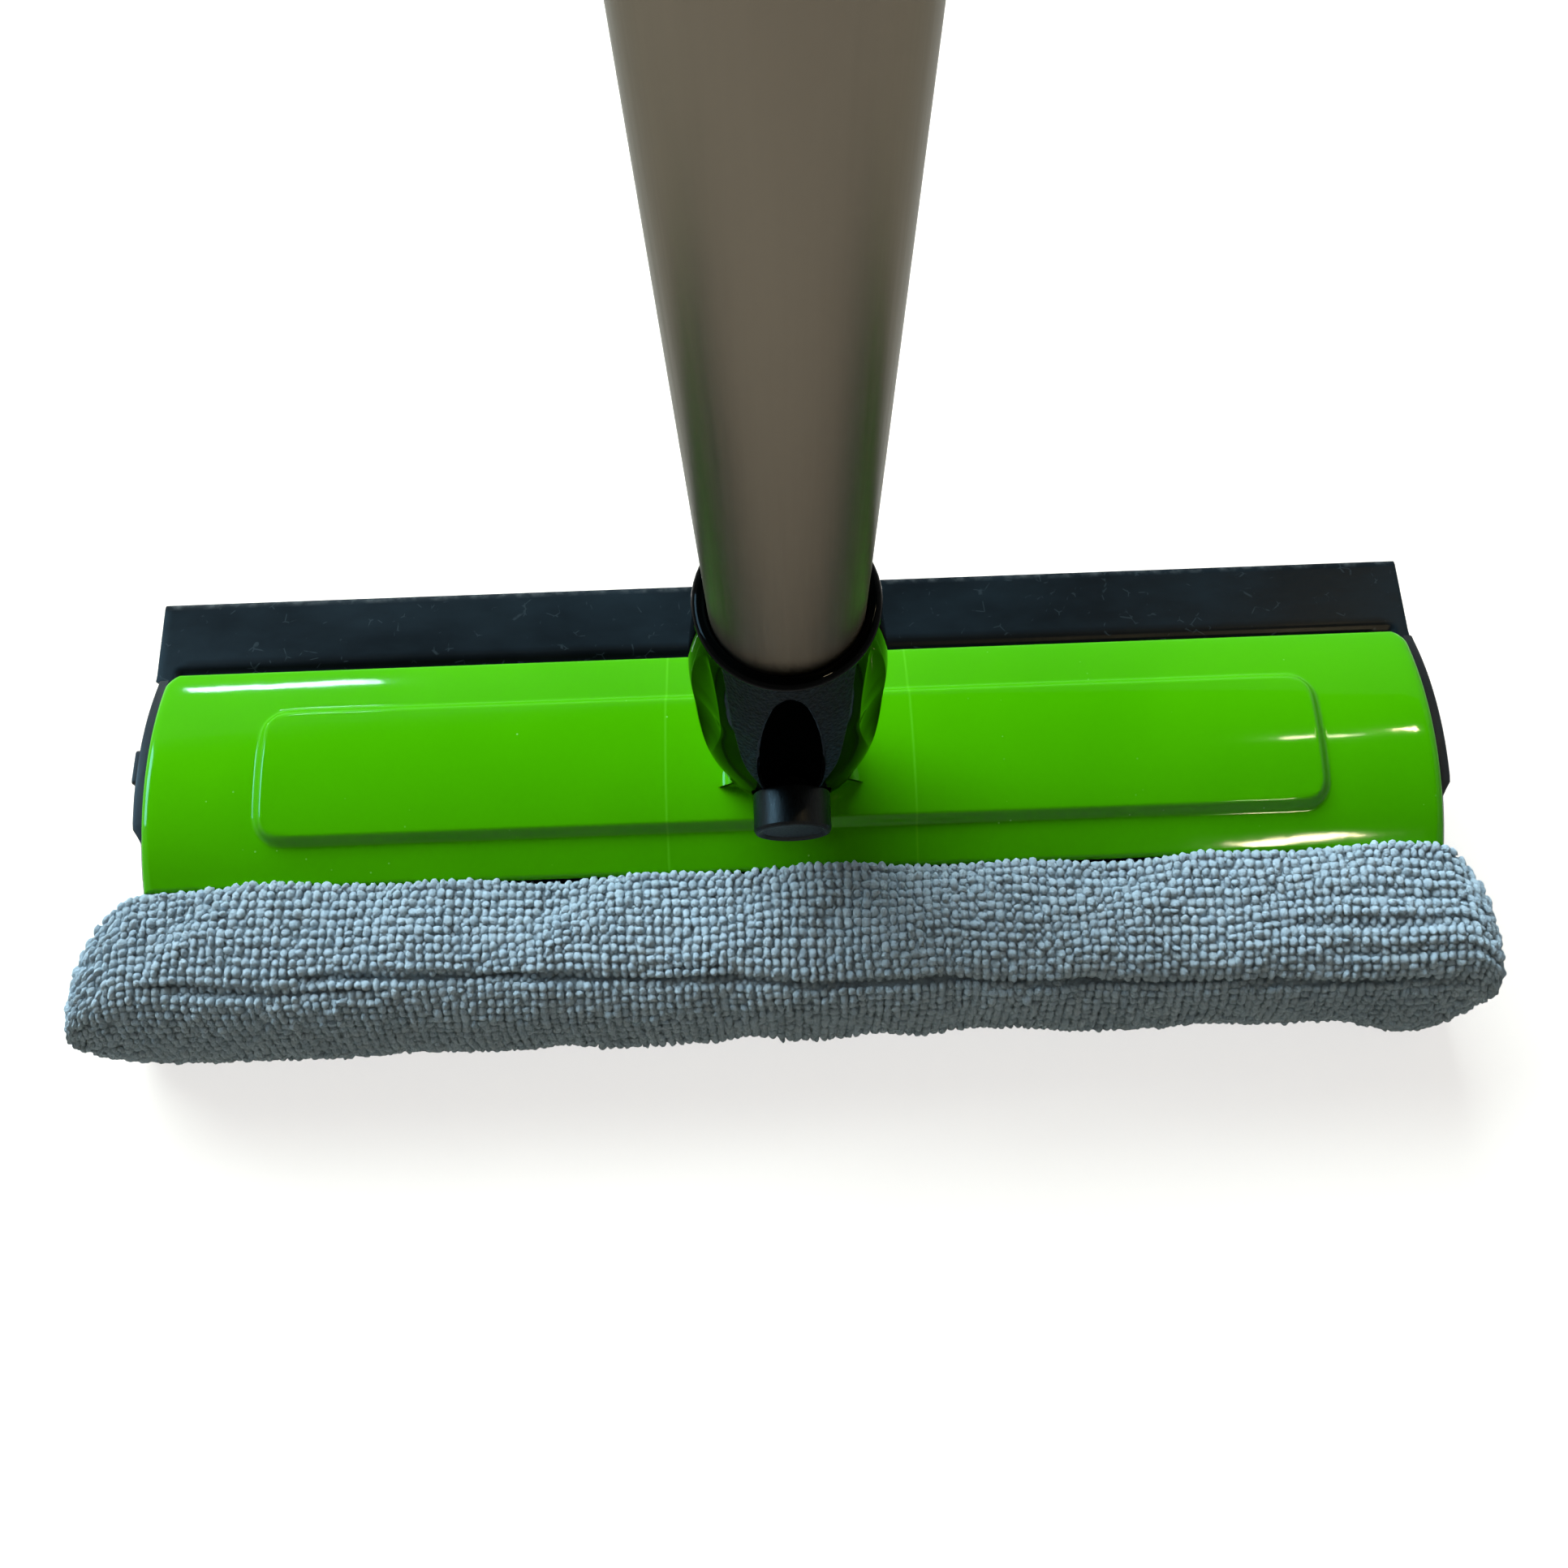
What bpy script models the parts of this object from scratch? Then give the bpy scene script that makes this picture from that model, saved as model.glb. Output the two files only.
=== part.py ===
# Window squeegee: a moulded head with a rubber blade behind and a scrubbing sleeve in front,
# a socket that swivels on the head with a push button lock, and a telescopic pole.
# Metres, +Z up along the pole, -Y towards the scrubbing sleeve, +X along the blade.
# The head stands on the sleeve's underside, with the origin under the middle of the whole tool.

from math import asin, cos, pi, radians, sin, sqrt

import bmesh
import bpy
from mathutils import Matrix, Vector

# Clearances and overruns shared by every piece
GAP = 0.0003             # between pieces that touch or seat
OVERRUN = 0.002          # how far a cutter passes the face it opens
EMBED = 0.0006           # how deep a joined shape sinks into its carrier
MERGE = 0.000001         # points this close are one

# Cover: an arch along X with a raised panel, its crest at height zero of the head's own frame
COVER_LENGTH = 0.254
ARCH_RADIUS = 0.055
COVER_WALL = 0.0022
COVER_BACK = 0.0246      # reach behind the pole's axis
COVER_FRONT = 0.0212     # reach in front of it
COVER_CORNER = 0.0034
PANEL_LENGTH = 0.208
PANEL_BACK = 0.0142
PANEL_FRONT = 0.0123
PANEL_RISE = 0.0016
PANEL_SLOPE = 0.0011     # run of the panel's sloping border
PANEL_CORNER = 0.0045
POST_RADIUS = 0.0034     # screw posts under the cover
PILOT_RADIUS = 0.0016
PILOT_DEPTH = 0.0085

# Ear on the cover, which the socket's fork straddles
PIVOT_RISE = 0.0155      # swivel axis above the cover's crest
EAR_RADIUS = 0.0112
EAR_THICKNESS = 0.0104
EAR_FOOT = 0.0285        # width of the ear where it meets the cover
EAR_WRAP = radians(20)   # how far its eye carries on below the swivel axis

# Frame under the cover
DECK_BOTTOM = -0.018     # underside, measured from the crest
DECK_THICKNESS = 0.0024
FRAME_WALL = 0.0024
RIB_THICKNESS = 0.0018
RIB_COUNT = 7
RIB_PITCH = 0.039
TONGUE_REACH = 0.040     # in front of the pole's axis
TONGUE_LENGTH = 0.264
TONGUE_ROOT_LENGTH = 0.244
TONGUE_TAPER = 0.010     # run over which the root widens
TONGUE_NOSE = 0.004
CHANNEL_FRONT = 0.0146   # where the blade channel's block starts behind the pole's axis
HEAD_SCREW_PITCHES = (-2.5, -0.5, 0.5, 2.5)

# Rubber blade, level, held by a T-shaped bead
BLADE_LENGTH = 0.2596
BLADE_LEVEL = -0.0116    # centre of its thickness, from the crest
BLADE_REACH = 0.042
BLADE_ROOT = 0.0032
BLADE_TIP = 0.0016
BEAD_HEIGHT = 0.0062
BEAD_DEPTH = 0.0031
BEAD_BACK = 0.0203       # rear face of the bead, behind the pole's axis

# End caps
CAP_THICKNESS = 0.0025
CAP_LUG_WIDTH = 0.007
CAP_LUG_HEIGHT = 0.005
CAP_LUG_RISE = 0.0013
CAP_LUG_BACK = 0.0015
CAP_PLUG_DEPTH = 0.005
CAP_PLUG_WIDTH = 0.018
CAP_PLUG_HEIGHT = 0.0065

# Head screws
SCREW_RADIUS = 0.0013
SCREW_LENGTH = 0.0095
SCREW_HEAD_RADIUS = 0.0031
SCREW_HEAD_HEIGHT = 0.0018

# Pad: foam on the frame's tongue, in a loop sleeve
PAD_LENGTH = 0.285
PAD_BACK = -0.0215       # rear face, from the pole's axis
PAD_DEPTH = 0.0305
PAD_TOP = -0.0034        # from the crest
PAD_HEIGHT = 0.0351
PAD_FLAT = 0.0005        # how much its underside is flattened
PAD_END = 0.017          # length over which each end draws in
SLEEVE_WALL = 0.0022
FOAM_FIT = 0.0004

# Socket: fork below, mouth above
SOCKET_HEIGHT = 0.0641   # from the swivel axis to the mouth
BELLY_WIDTH = 0.031
BELLY_DEPTH = 0.026
CHIN_RADIUS = 0.0128     # round lower end about the swivel axis
SLOT_RISE = 0.0122       # slot for the ear, above the swivel axis
SOCKET_DEPTH = 0.038     # how deep the tube goes in
LIP_RADIUS = 0.0132
LIP_HEIGHT = 0.0022
RING_BOSS_RADIUS = 0.007
RING_BOSS_HEIGHT = 0.0015

# Button and lock inside the fork, on the swivel axis
BUTTON_RADIUS = 0.007
BUTTON_FRONT = 0.0182    # front face, from the swivel axis
BUTTON_TRAVEL = 0.0035
BUTTON_SEAT = 0.0110     # rear face of its head at rest
BUTTON_EDGE = 0.0007
SHANK_FLATS = 0.005      # hexagon across flats
SHANK_FIT = 0.0003
SHANK_END = 0.0027
EAR_NECK_RADIUS = 0.0033  # hole in the ear for the button's shank
CONE_SEAT_START = 0.0027
CONE_SEAT_END = 0.0009
CONE_SMALL_RADIUS = 0.0036
CONE_LARGE_RADIUS = 0.0054
CONE_RIM = 0.0006
CONE_CHAMBER = 0.0056
REAR_COUNTERBORE = 0.0037
SPRING_CHAMBER = 0.0057
SPRING_SEAT = 0.009
SPRING_WIRE = 0.0008
SPRING_RADIUS = 0.0039
SPRING_TURNS = 4.5
CAP_BORE_RADIUS = 0.0065
PIVOT_CAP_LENGTH = 0.0022
COIN_SLOT_LENGTH = 0.009
COIN_SLOT_WIDTH = 0.0012
COIN_SLOT_DEPTH = 0.0008
CONE_SCREW_RADIUS = 0.0011
CONE_SCREW_LENGTH = 0.0068
CONE_SCREW_HEAD_RADIUS = 0.0022
CONE_SCREW_HEAD_HEIGHT = 0.0013

# Screw through the socket's back into the tube
TUBE_SCREW_RISE = 0.0465  # above the swivel axis
TUBE_SCREW_RADIUS = 0.0014
TUBE_SCREW_HEAD_RADIUS = 0.0029
TUBE_SCREW_HEAD_HEIGHT = 0.0015
TUBE_SCREW_REACH = 0.0075

# Pole
TUBE_RADIUS = 0.011
TUBE_WALL = 0.001
TUBE_LENGTH = 0.516
OUTER_RADIUS = 0.0127
OUTER_WALL = 0.001
OUTER_LENGTH = 0.416
LOCK_HEIGHT = 0.200      # lower end of the lock sleeve above the crest
TUBE_PLUG_LENGTH = 0.014
TUBE_FLANGE = 0.012
TUBE_FLANGE_FIT = 0.0003

# Twist lock
LOCK_RADIUS = 0.017
LOCK_LENGTH = 0.028
LOCK_WALL = 0.0024
LOCK_LIP = 0.0022
FLUTE_COUNT = 14
FLUTE_DEPTH = 0.0007
BODY_RADIUS = 0.0147
BODY_LENGTH = 0.038      # lock body, from its nose to its upper rim
NOSE_RADIUS = 0.0141
COLLET_LENGTH = 0.0095
COLLET_SPLIT = 0.002
COLLET_RADIUS = 0.0135
COLLET_TIP_RADIUS = 0.0124

# Grip and hanging cap
GRIP_LENGTH = 0.112
GRIP_RADIUS = 0.0165
GRIP_GROOVES = 7
GRIP_GROOVE_DEPTH = 0.0009
HANG_RADIUS = 0.0147
HANG_HEIGHT = 0.026
HANG_SPIGOT = 0.016
HANG_TAB_THICKNESS = 0.011
HANG_TAB_RISE = 0.007
HANG_HOLE_WIDTH = 0.008
HANG_HOLE_HEIGHT = 0.011
HANG_EDGE = 0.0025
HANG_CROWN_WIDTH = 0.014

# Shares of the sizes above, chosen by hand
# Socket sections above the swivel axis: height, half width and half depth
SOCKET_SHARES = (
    (0.0, 0.826, 0.870), (0.10, 0.900, 0.892), (0.226, 0.958, 0.931), (0.351, 0.990, 0.969),
    (0.476, 1.0, 0.992), (0.600, 1.0, 1.0), (0.725, 0.961, 0.985), (0.850, 0.897, 0.969),
)
CHIN_STEP_SHARES = (0.98, 0.88, 0.70, 0.48, 0.24)
CHIN_DEPTH_SHARE = 0.55  # how much of the front-to-back size is left at the very bottom
# Pad section: share of the depth from the rear face, share of the height from the top
PAD_SECTION_SHARES = (
    (0.0, 0.10), (0.066, 0.009), (0.344, 0.0), (0.623, 0.040), (0.754, 0.125), (0.911, 0.321),
    (1.0, 0.581), (0.951, 0.812), (0.803, 0.968), (0.55, 1.0), (0.25, 1.0), (0.056, 0.955),
    (0.0, 0.80), (0.0, 0.42),
)
# Pad ends: share of the end's length, of the depth and of the height
PAD_END_SHARES = (
    (0.0, 1.0, 1.0), (0.30, 0.86, 0.97), (0.58, 0.70, 0.90), (0.80, 0.55, 0.78),
    (0.94, 0.39, 0.58), (1.0, 0.20, 0.30),
)
PAD_SHRINK_SHARE = 0.72  # where across the depth the ends draw in to
# Front recess of the socket: share of the height above the swivel axis, half width and depth
RECESS_SHARES = (
    (0.02, 0.30, 0.20), (0.10, 0.60, 0.62), (0.22, 0.84, 0.95), (0.36, 0.97, 1.0),
    (0.50, 1.0, 0.40), (0.64, 0.90, 0.36), (0.78, 0.68, 0.30), (0.88, 0.35, 0.14),
)
RECESS_HALF_WIDTH = 0.0054
RECESS_DEPTH = 0.0030
DENT_CENTRE = 0.0012     # how far outside the surface a dent's ellipses are centred
# Side scallops: share of the height above the swivel axis, half width and depth
SCALLOP_SHARES = (
    (0.02, 0.20, 0.15), (0.12, 0.55, 0.5), (0.26, 0.82, 0.85), (0.44, 1.0, 1.0),
    (0.62, 0.92, 0.85), (0.78, 0.65, 0.5), (0.90, 0.28, 0.15),
)
SCALLOP_HALF_WIDTH = 0.0055
SCALLOP_DEPTH = 0.0011
SCALLOP_TURN = radians(58)

# Crown of every screw's head: share of the head's radius and of its height
SCREW_CROWN_SHARES = ((0.6, 1.0), (0.92, 0.7), (1.0, 0.3))
LIP_SHARES = (0.75, 0.45, 0.15)
# One groove of the grip: share of the pitch and of the depth
GRIP_GROOVE_SHARES = ((0.3, 0.0), (0.42, 0.8), (0.5, 1.0), (0.58, 0.8), (0.7, 0.0))

# Counts of facets
TURN_STEPS = 40
SMALL_TURN_STEPS = 24
ARCH_STEPS = 6           # between one named line of the arch and the next
CORNER_STEPS = 4         # in a quarter of a rounded corner
EAR_STEPS = 16
GRIP_STEPS = 32
FLUTE_STEPS = 4          # in one flute of the twist lock
SMOOTH_ANGLE = radians(35)
SOCKET_STEPS = 44
CURVE_STEPS = 2
WIRE_STEPS = 10          # points in one turn of the spring

# Places worked out from the sizes
FLOOR = -(abs(PAD_TOP) + PAD_HEIGHT - PAD_FLAT)
POLE_PLACE = (BLADE_REACH - (PAD_DEPTH - PAD_BACK)) / 2
SLOT_HALF = EAR_THICKNESS / 2 + GAP
TUBE_FOOT = PIVOT_RISE + SOCKET_HEIGHT - SOCKET_DEPTH
MOUTH = PIVOT_RISE + SOCKET_HEIGHT
CHIN_DEPTH = BELLY_DEPTH / 2 * SOCKET_SHARES[0][2]
OUTER_FOOT = LOCK_HEIGHT + LOCK_LIP + COLLET_LENGTH + LOCK_LIP


def material(name, colour, roughness, metallic=0.0):
    made = bpy.data.materials.new(name)
    made.use_nodes = True
    shader = made.node_tree.nodes["Principled BSDF"]
    shader.inputs["Base Color"].default_value = (*colour, 1.0)
    shader.inputs["Roughness"].default_value = roughness
    shader.inputs["Metallic"].default_value = metallic
    return made


def empty(name, place, parent=None):
    made = bpy.data.objects.new(name, None)
    made.location = place
    made.parent = parent
    bpy.context.scene.collection.objects.link(made)
    return made


def solid(name, shape, parent, finish=None):
    """Object made from a bmesh shape, smooth except at its real edges."""
    mesh = bpy.data.meshes.new(name)
    shape.to_mesh(mesh)
    shape.free()
    mesh.shade_smooth()
    mesh.set_sharp_from_angle(angle=SMOOTH_ANGLE)
    made = bpy.data.objects.new(name, mesh)
    made.parent = parent
    if finish is not None:
        made.data.materials.append(finish)
    bpy.context.scene.collection.objects.link(made)
    return made


def combine(target, tool_shape, operation, label):
    """Joins or cuts a shape, kept as a hidden wire object beside its target."""
    tool = solid(target.name + "_" + label, tool_shape, target.parent)
    tool.hide_render = True
    tool.display_type = "WIRE"
    change = target.modifiers.new(label, "BOOLEAN")
    change.operation = operation
    change.object = tool


def prism(outline, low, high, axis):
    """Outline in the two other axes, in X, Y, Z order, pushed along axis from low to high."""
    place = {
        "X": lambda u, v, w: (w, u, v),
        "Y": lambda u, v, w: (u, w, v),
        "Z": lambda u, v, w: (u, v, w),
    }[axis]
    shape = bmesh.new()
    face = shape.faces.new([shape.verts.new(place(u, v, low)) for u, v in outline])
    pushed = bmesh.ops.extrude_face_region(shape, geom=[face])["geom"]
    moved = [part for part in pushed if isinstance(part, bmesh.types.BMVert)]
    bmesh.ops.translate(shape, vec=Vector(place(0, 0, high - low)), verts=moved)
    bmesh.ops.recalc_face_normals(shape, faces=shape.faces)
    return shape


def turned(profile, steps=TURN_STEPS):
    """Profile of (radius, height) points turned about Z. It closes on itself off the axis."""
    shape = bmesh.new()
    points = [shape.verts.new((radius, 0, height)) for radius, height in profile]
    edges = [shape.edges.new(pair) for pair in zip(points, points[1:])]
    if profile[0][0] > 0:
        edges.append(shape.edges.new((points[-1], points[0])))
    bmesh.ops.spin(
        shape, geom=points + edges, cent=(0, 0, 0), axis=(0, 0, 1),
        angle=2 * pi, steps=steps, use_merge=True,
    )
    bmesh.ops.remove_doubles(shape, verts=shape.verts, dist=MERGE)
    bmesh.ops.recalc_face_normals(shape, faces=shape.faces)
    return shape


def along_y(shape):
    """The same shape with its Z axis laid along +Y."""
    bmesh.ops.rotate(
        shape, cent=(0, 0, 0), matrix=Matrix.Rotation(-pi / 2, 3, "X"), verts=shape.verts
    )
    return shape


def from_behind(shape):
    """The same shape with its Z axis laid along -Y, as a screw driven in from the back."""
    bmesh.ops.rotate(
        shape, cent=(0, 0, 0), matrix=Matrix.Rotation(pi / 2, 3, "X"), verts=shape.verts
    )
    return shape


def loft(rings):
    """Closed skin over rings of equally many points, with flat ends."""
    shape = bmesh.new()
    loops = [[shape.verts.new(point) for point in ring] for ring in rings]
    for first, second in zip(loops, loops[1:]):
        for i in range(len(first)):
            shape.faces.new((first[i - 1], first[i], second[i], second[i - 1]))
    shape.faces.new(loops[0])
    shape.faces.new(loops[-1])
    bmesh.ops.recalc_face_normals(shape, faces=shape.faces)
    return shape


def moved(shape, place):
    bmesh.ops.translate(shape, vec=Vector(place), verts=shape.verts)
    return shape


def joined(shapes):
    """Several shapes in one, for a tool that works in several places at once."""
    whole = bmesh.new()
    for shape in shapes:
        mesh = bpy.data.meshes.new("tool")
        shape.to_mesh(mesh)
        shape.free()
        whole.from_mesh(mesh)
        bpy.data.meshes.remove(mesh)
    return whole


def cylinder(radius, low, high, steps=SMALL_TURN_STEPS):
    return turned(((0, low), (radius, low), (radius, high), (0, high)), steps)


def hexagon(across_flats):
    corner = across_flats / sqrt(3)
    return [(corner * cos(i * pi / 3), corner * sin(i * pi / 3)) for i in range(6)]


def arch_height(reach, radius):
    """Height above the crest of an arch of this radius, so far from the crest line."""
    return sqrt(radius ** 2 - reach ** 2) - ARCH_RADIUS


def between(low, high, count):
    return [low + (high - low) * i / count for i in range(count)]


def closed_curve(points, steps):
    """Smooth closed curve through points, by Catmull-Rom pieces."""
    found = []
    count = len(points)
    for i in range(count):
        before, start, end, after = (Vector(points[(i + k) % count]) for k in (-1, 0, 1, 2))
        for k in range(steps):
            t = k / steps
            found.append((
                2 * start
                + (end - before) * t
                + (2 * before - 5 * start + 4 * end - after) * t ** 2
                + (3 * start - before - 3 * end + after) * t ** 3
            ) / 2)
    return found


def ellipse(half_x, half_y, steps, centre_y=0.0):
    return [
        (half_x * cos(2 * pi * i / steps), centre_y + half_y * sin(2 * pi * i / steps))
        for i in range(steps)
    ]


# Cover
def cover_ring(angle):
    """One rib of the cover: over the panel along X, and back along the inside."""
    reach = ARCH_RADIUS * sin(angle)
    edge = max(0, COVER_CORNER - (COVER_BACK - reach))
    half = COVER_LENGTH / 2 - COVER_CORNER + sqrt(COVER_CORNER ** 2 - edge ** 2)
    inside = min(PANEL_BACK - reach, reach + PANEL_FRONT)
    edge = min(PANEL_CORNER, max(0, PANEL_CORNER - inside))
    panel = PANEL_LENGTH / 2 - PANEL_CORNER + sqrt(PANEL_CORNER ** 2 - edge ** 2)
    top = ARCH_RADIUS + (PANEL_RISE if inside >= 0 else 0)
    inner = ARCH_RADIUS - COVER_WALL
    line = (
        (half, ARCH_RADIUS), (panel + PANEL_SLOPE, ARCH_RADIUS), (panel, top), (0, top),
        (-panel, top), (-panel - PANEL_SLOPE, ARCH_RADIUS), (-half, ARCH_RADIUS),
        (-half, inner), (0, inner), (half, inner),
    )
    return [(x, r * sin(angle), r * cos(angle) - ARCH_RADIUS) for x, r in line]


def cover_angles():
    """Stations round the arch: corners of the cover, borders and corners of the panel."""
    bend = [1 - cos(i * pi / 2 / CORNER_STEPS) for i in range(CORNER_STEPS + 1)]
    lines = [COVER_BACK - COVER_CORNER * share for share in bend]
    lines += [PANEL_BACK + PANEL_SLOPE]
    lines += [PANEL_BACK - PANEL_CORNER * share for share in bend]
    lines += between(PANEL_BACK - PANEL_CORNER, PANEL_CORNER - PANEL_FRONT, ARCH_STEPS)[1:]
    lines += [PANEL_CORNER * share - PANEL_FRONT for share in reversed(bend)]
    lines += between(-PANEL_FRONT - PANEL_SLOPE, -COVER_FRONT, ARCH_STEPS // 2)
    lines += [-COVER_FRONT]
    return [asin(line / ARCH_RADIUS) for line in lines]


def ear_outline():
    """Round eye about the swivel axis on a foot that spreads into the cover."""
    base = -(PIVOT_RISE - PANEL_RISE + EMBED)
    foot = EAR_FOOT / 2
    turn = pi + 2 * EAR_WRAP
    eye = [
        (EAR_RADIUS * cos(a), EAR_RADIUS * sin(a))
        for a in (turn * i / EAR_STEPS - EAR_WRAP for i in range(EAR_STEPS + 1))
    ]
    return eye + [(-foot, base), (foot, base)]


def post_places():
    return [share * RIB_PITCH for share in HEAD_SCREW_PITCHES]


def build_cover(crest, finish):
    rings = [cover_ring(angle) for angle in cover_angles()]
    cover = solid("cover_shell", loft(rings), crest, finish)
    half = EAR_THICKNESS / 2
    ear = moved(prism(ear_outline(), -half, half, "Y"), (0, 0, PIVOT_RISE))
    combine(cover, ear, "UNION", "ear")
    front = half - RING_BOSS_HEIGHT
    wide = RING_BOSS_RADIUS + GAP
    bore = turned((
        (0, -half - OVERRUN), (wide, -half - OVERRUN), (wide, -front), (EAR_NECK_RADIUS, -front),
        (EAR_NECK_RADIUS, -CONE_SEAT_START), (CONE_SMALL_RADIUS, -CONE_SEAT_START),
        (CONE_LARGE_RADIUS, CONE_SEAT_END), (CONE_CHAMBER, CONE_SEAT_END),
        (CONE_CHAMBER, REAR_COUNTERBORE), (wide, REAR_COUNTERBORE),
        (wide, half + OVERRUN), (0, half + OVERRUN),
    ))
    combine(cover, moved(along_y(bore), (0, 0, PIVOT_RISE)), "DIFFERENCE", "ear_bore")
    foot = DECK_BOTTOM + DECK_THICKNESS + GAP
    post = (
        (0, foot + PILOT_DEPTH), (PILOT_RADIUS, foot + PILOT_DEPTH), (PILOT_RADIUS, foot),
        (POST_RADIUS, foot), (POST_RADIUS, EMBED - COVER_WALL), (0, EMBED - COVER_WALL),
    )
    posts = [moved(turned(post, SMALL_TURN_STEPS), (x, 0, 0)) for x in post_places()]
    combine(cover, joined(posts), "UNION", "posts")


# Frame
def frame_section():
    """Section in Y and Z: front wall, deck and the block with the blade's T-shaped channel."""
    under = ARCH_RADIUS - COVER_WALL - GAP
    front = COVER_FRONT - GAP
    deck_top = DECK_BOTTOM + DECK_THICKNESS
    throat = BLADE_ROOT / 2 + GAP
    cavity = BEAD_HEIGHT / 2 + GAP
    cavity_back = BEAD_BACK + GAP
    cavity_front = BEAD_BACK - BEAD_DEPTH - GAP
    back = COVER_BACK - GAP
    top_line = [
        (y, arch_height(y, under))
        for y in between(back, CHANNEL_FRONT, ARCH_STEPS // 2) + [CHANNEL_FRONT]
    ]
    front_line = [(-front + FRAME_WALL, arch_height(front - FRAME_WALL, under)),
                  (-front, arch_height(front, under))]
    return (
        top_line
        + [(CHANNEL_FRONT, deck_top), (FRAME_WALL - front, deck_top)]
        + front_line
        + [(-front, DECK_BOTTOM), (back - DECK_THICKNESS, DECK_BOTTOM),
           (back, DECK_BOTTOM + DECK_THICKNESS),
           (back, BLADE_LEVEL - throat), (cavity_back, BLADE_LEVEL - throat),
           (cavity_back, BLADE_LEVEL - cavity), (cavity_front, BLADE_LEVEL - cavity),
           (cavity_front, BLADE_LEVEL + cavity), (cavity_back, BLADE_LEVEL + cavity),
           (cavity_back, BLADE_LEVEL + throat), (back, BLADE_LEVEL + throat)]
    )


def rib_section():
    """D-shaped rib from the deck up to the cover, between front wall and channel block."""
    under = ARCH_RADIUS - COVER_WALL - GAP
    low = DECK_BOTTOM + DECK_THICKNESS - EMBED
    back = CHANNEL_FRONT + EMBED
    front = FRAME_WALL - COVER_FRONT + GAP - EMBED
    line = between(back, front, ARCH_STEPS) + [front]
    return [(y, arch_height(y, under)) for y in line] + [(front, low), (back, low)]


def tongue_outline(grow=0.0):
    """Plan of the pad's tongue, narrower at its root than at its nose."""
    root = TONGUE_ROOT_LENGTH / 2 + grow
    wide = TONGUE_LENGTH / 2 + grow
    start = -COVER_FRONT - FRAME_WALL
    nose = -TONGUE_REACH - grow
    return [
        (-root, start), (-wide, start - TONGUE_TAPER), (-wide, nose + TONGUE_NOSE),
        (-wide + TONGUE_NOSE, nose), (wide - TONGUE_NOSE, nose), (wide, nose + TONGUE_NOSE),
        (wide, start - TONGUE_TAPER), (root, start),
    ]


def tongue_shape(grow, root_end):
    """The tongue with its root carried back to root_end, all round larger by grow."""
    root = TONGUE_ROOT_LENGTH / 2 + grow
    outline = [(-root, root_end)] + tongue_outline(grow) + [(root, root_end)]
    return prism(outline, DECK_BOTTOM - grow, DECK_BOTTOM + DECK_THICKNESS + grow, "Z")


def build_frame(crest, finish):
    half = COVER_LENGTH / 2
    frame = solid("head_frame", prism(frame_section(), -half, half, "X"), crest, finish)
    first = -(RIB_COUNT - 1) / 2
    ribs = [
        moved(prism(rib_section(), -RIB_THICKNESS / 2, RIB_THICKNESS / 2, "X"),
              ((first + i) * RIB_PITCH, 0, 0))
        for i in range(RIB_COUNT)
    ]
    combine(frame, joined(ribs), "UNION", "ribs")
    combine(frame, tongue_shape(0, FRAME_WALL - COVER_FRONT), "UNION", "tongue")
    hole = SCREW_RADIUS + GAP
    low = DECK_BOTTOM - OVERRUN
    high = DECK_BOTTOM + DECK_THICKNESS + OVERRUN
    holes = [moved(cylinder(hole, low, high), (x, 0, 0)) for x in post_places()]
    combine(frame, joined(holes), "DIFFERENCE", "screw_holes")


def build_blade(crest, finish):
    bead_front = BEAD_BACK - BEAD_DEPTH
    neck_end = COVER_BACK + GAP
    bead = [
        (bead_front, -BEAD_HEIGHT / 2), (BEAD_BACK, -BEAD_HEIGHT / 2), (BEAD_BACK, -BLADE_ROOT / 2),
        (neck_end + EMBED, -BLADE_ROOT / 2), (neck_end + EMBED, BLADE_ROOT / 2),
        (BEAD_BACK, BLADE_ROOT / 2), (BEAD_BACK, BEAD_HEIGHT / 2), (bead_front, BEAD_HEIGHT / 2),
    ]
    lip = [
        (neck_end, -BLADE_ROOT / 2), (BLADE_REACH, -BLADE_TIP / 2),
        (BLADE_REACH, BLADE_TIP / 2), (neck_end, BLADE_ROOT / 2),
    ]
    inside = COVER_LENGTH / 2
    outside = BLADE_LENGTH / 2
    level = (0, 0, BLADE_LEVEL)
    blade = solid("squeegee_blade", moved(prism(bead, -inside, inside, "X"), level), crest, finish)
    combine(blade, moved(prism(lip, -outside, outside, "X"), level), "UNION", "lip")


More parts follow.
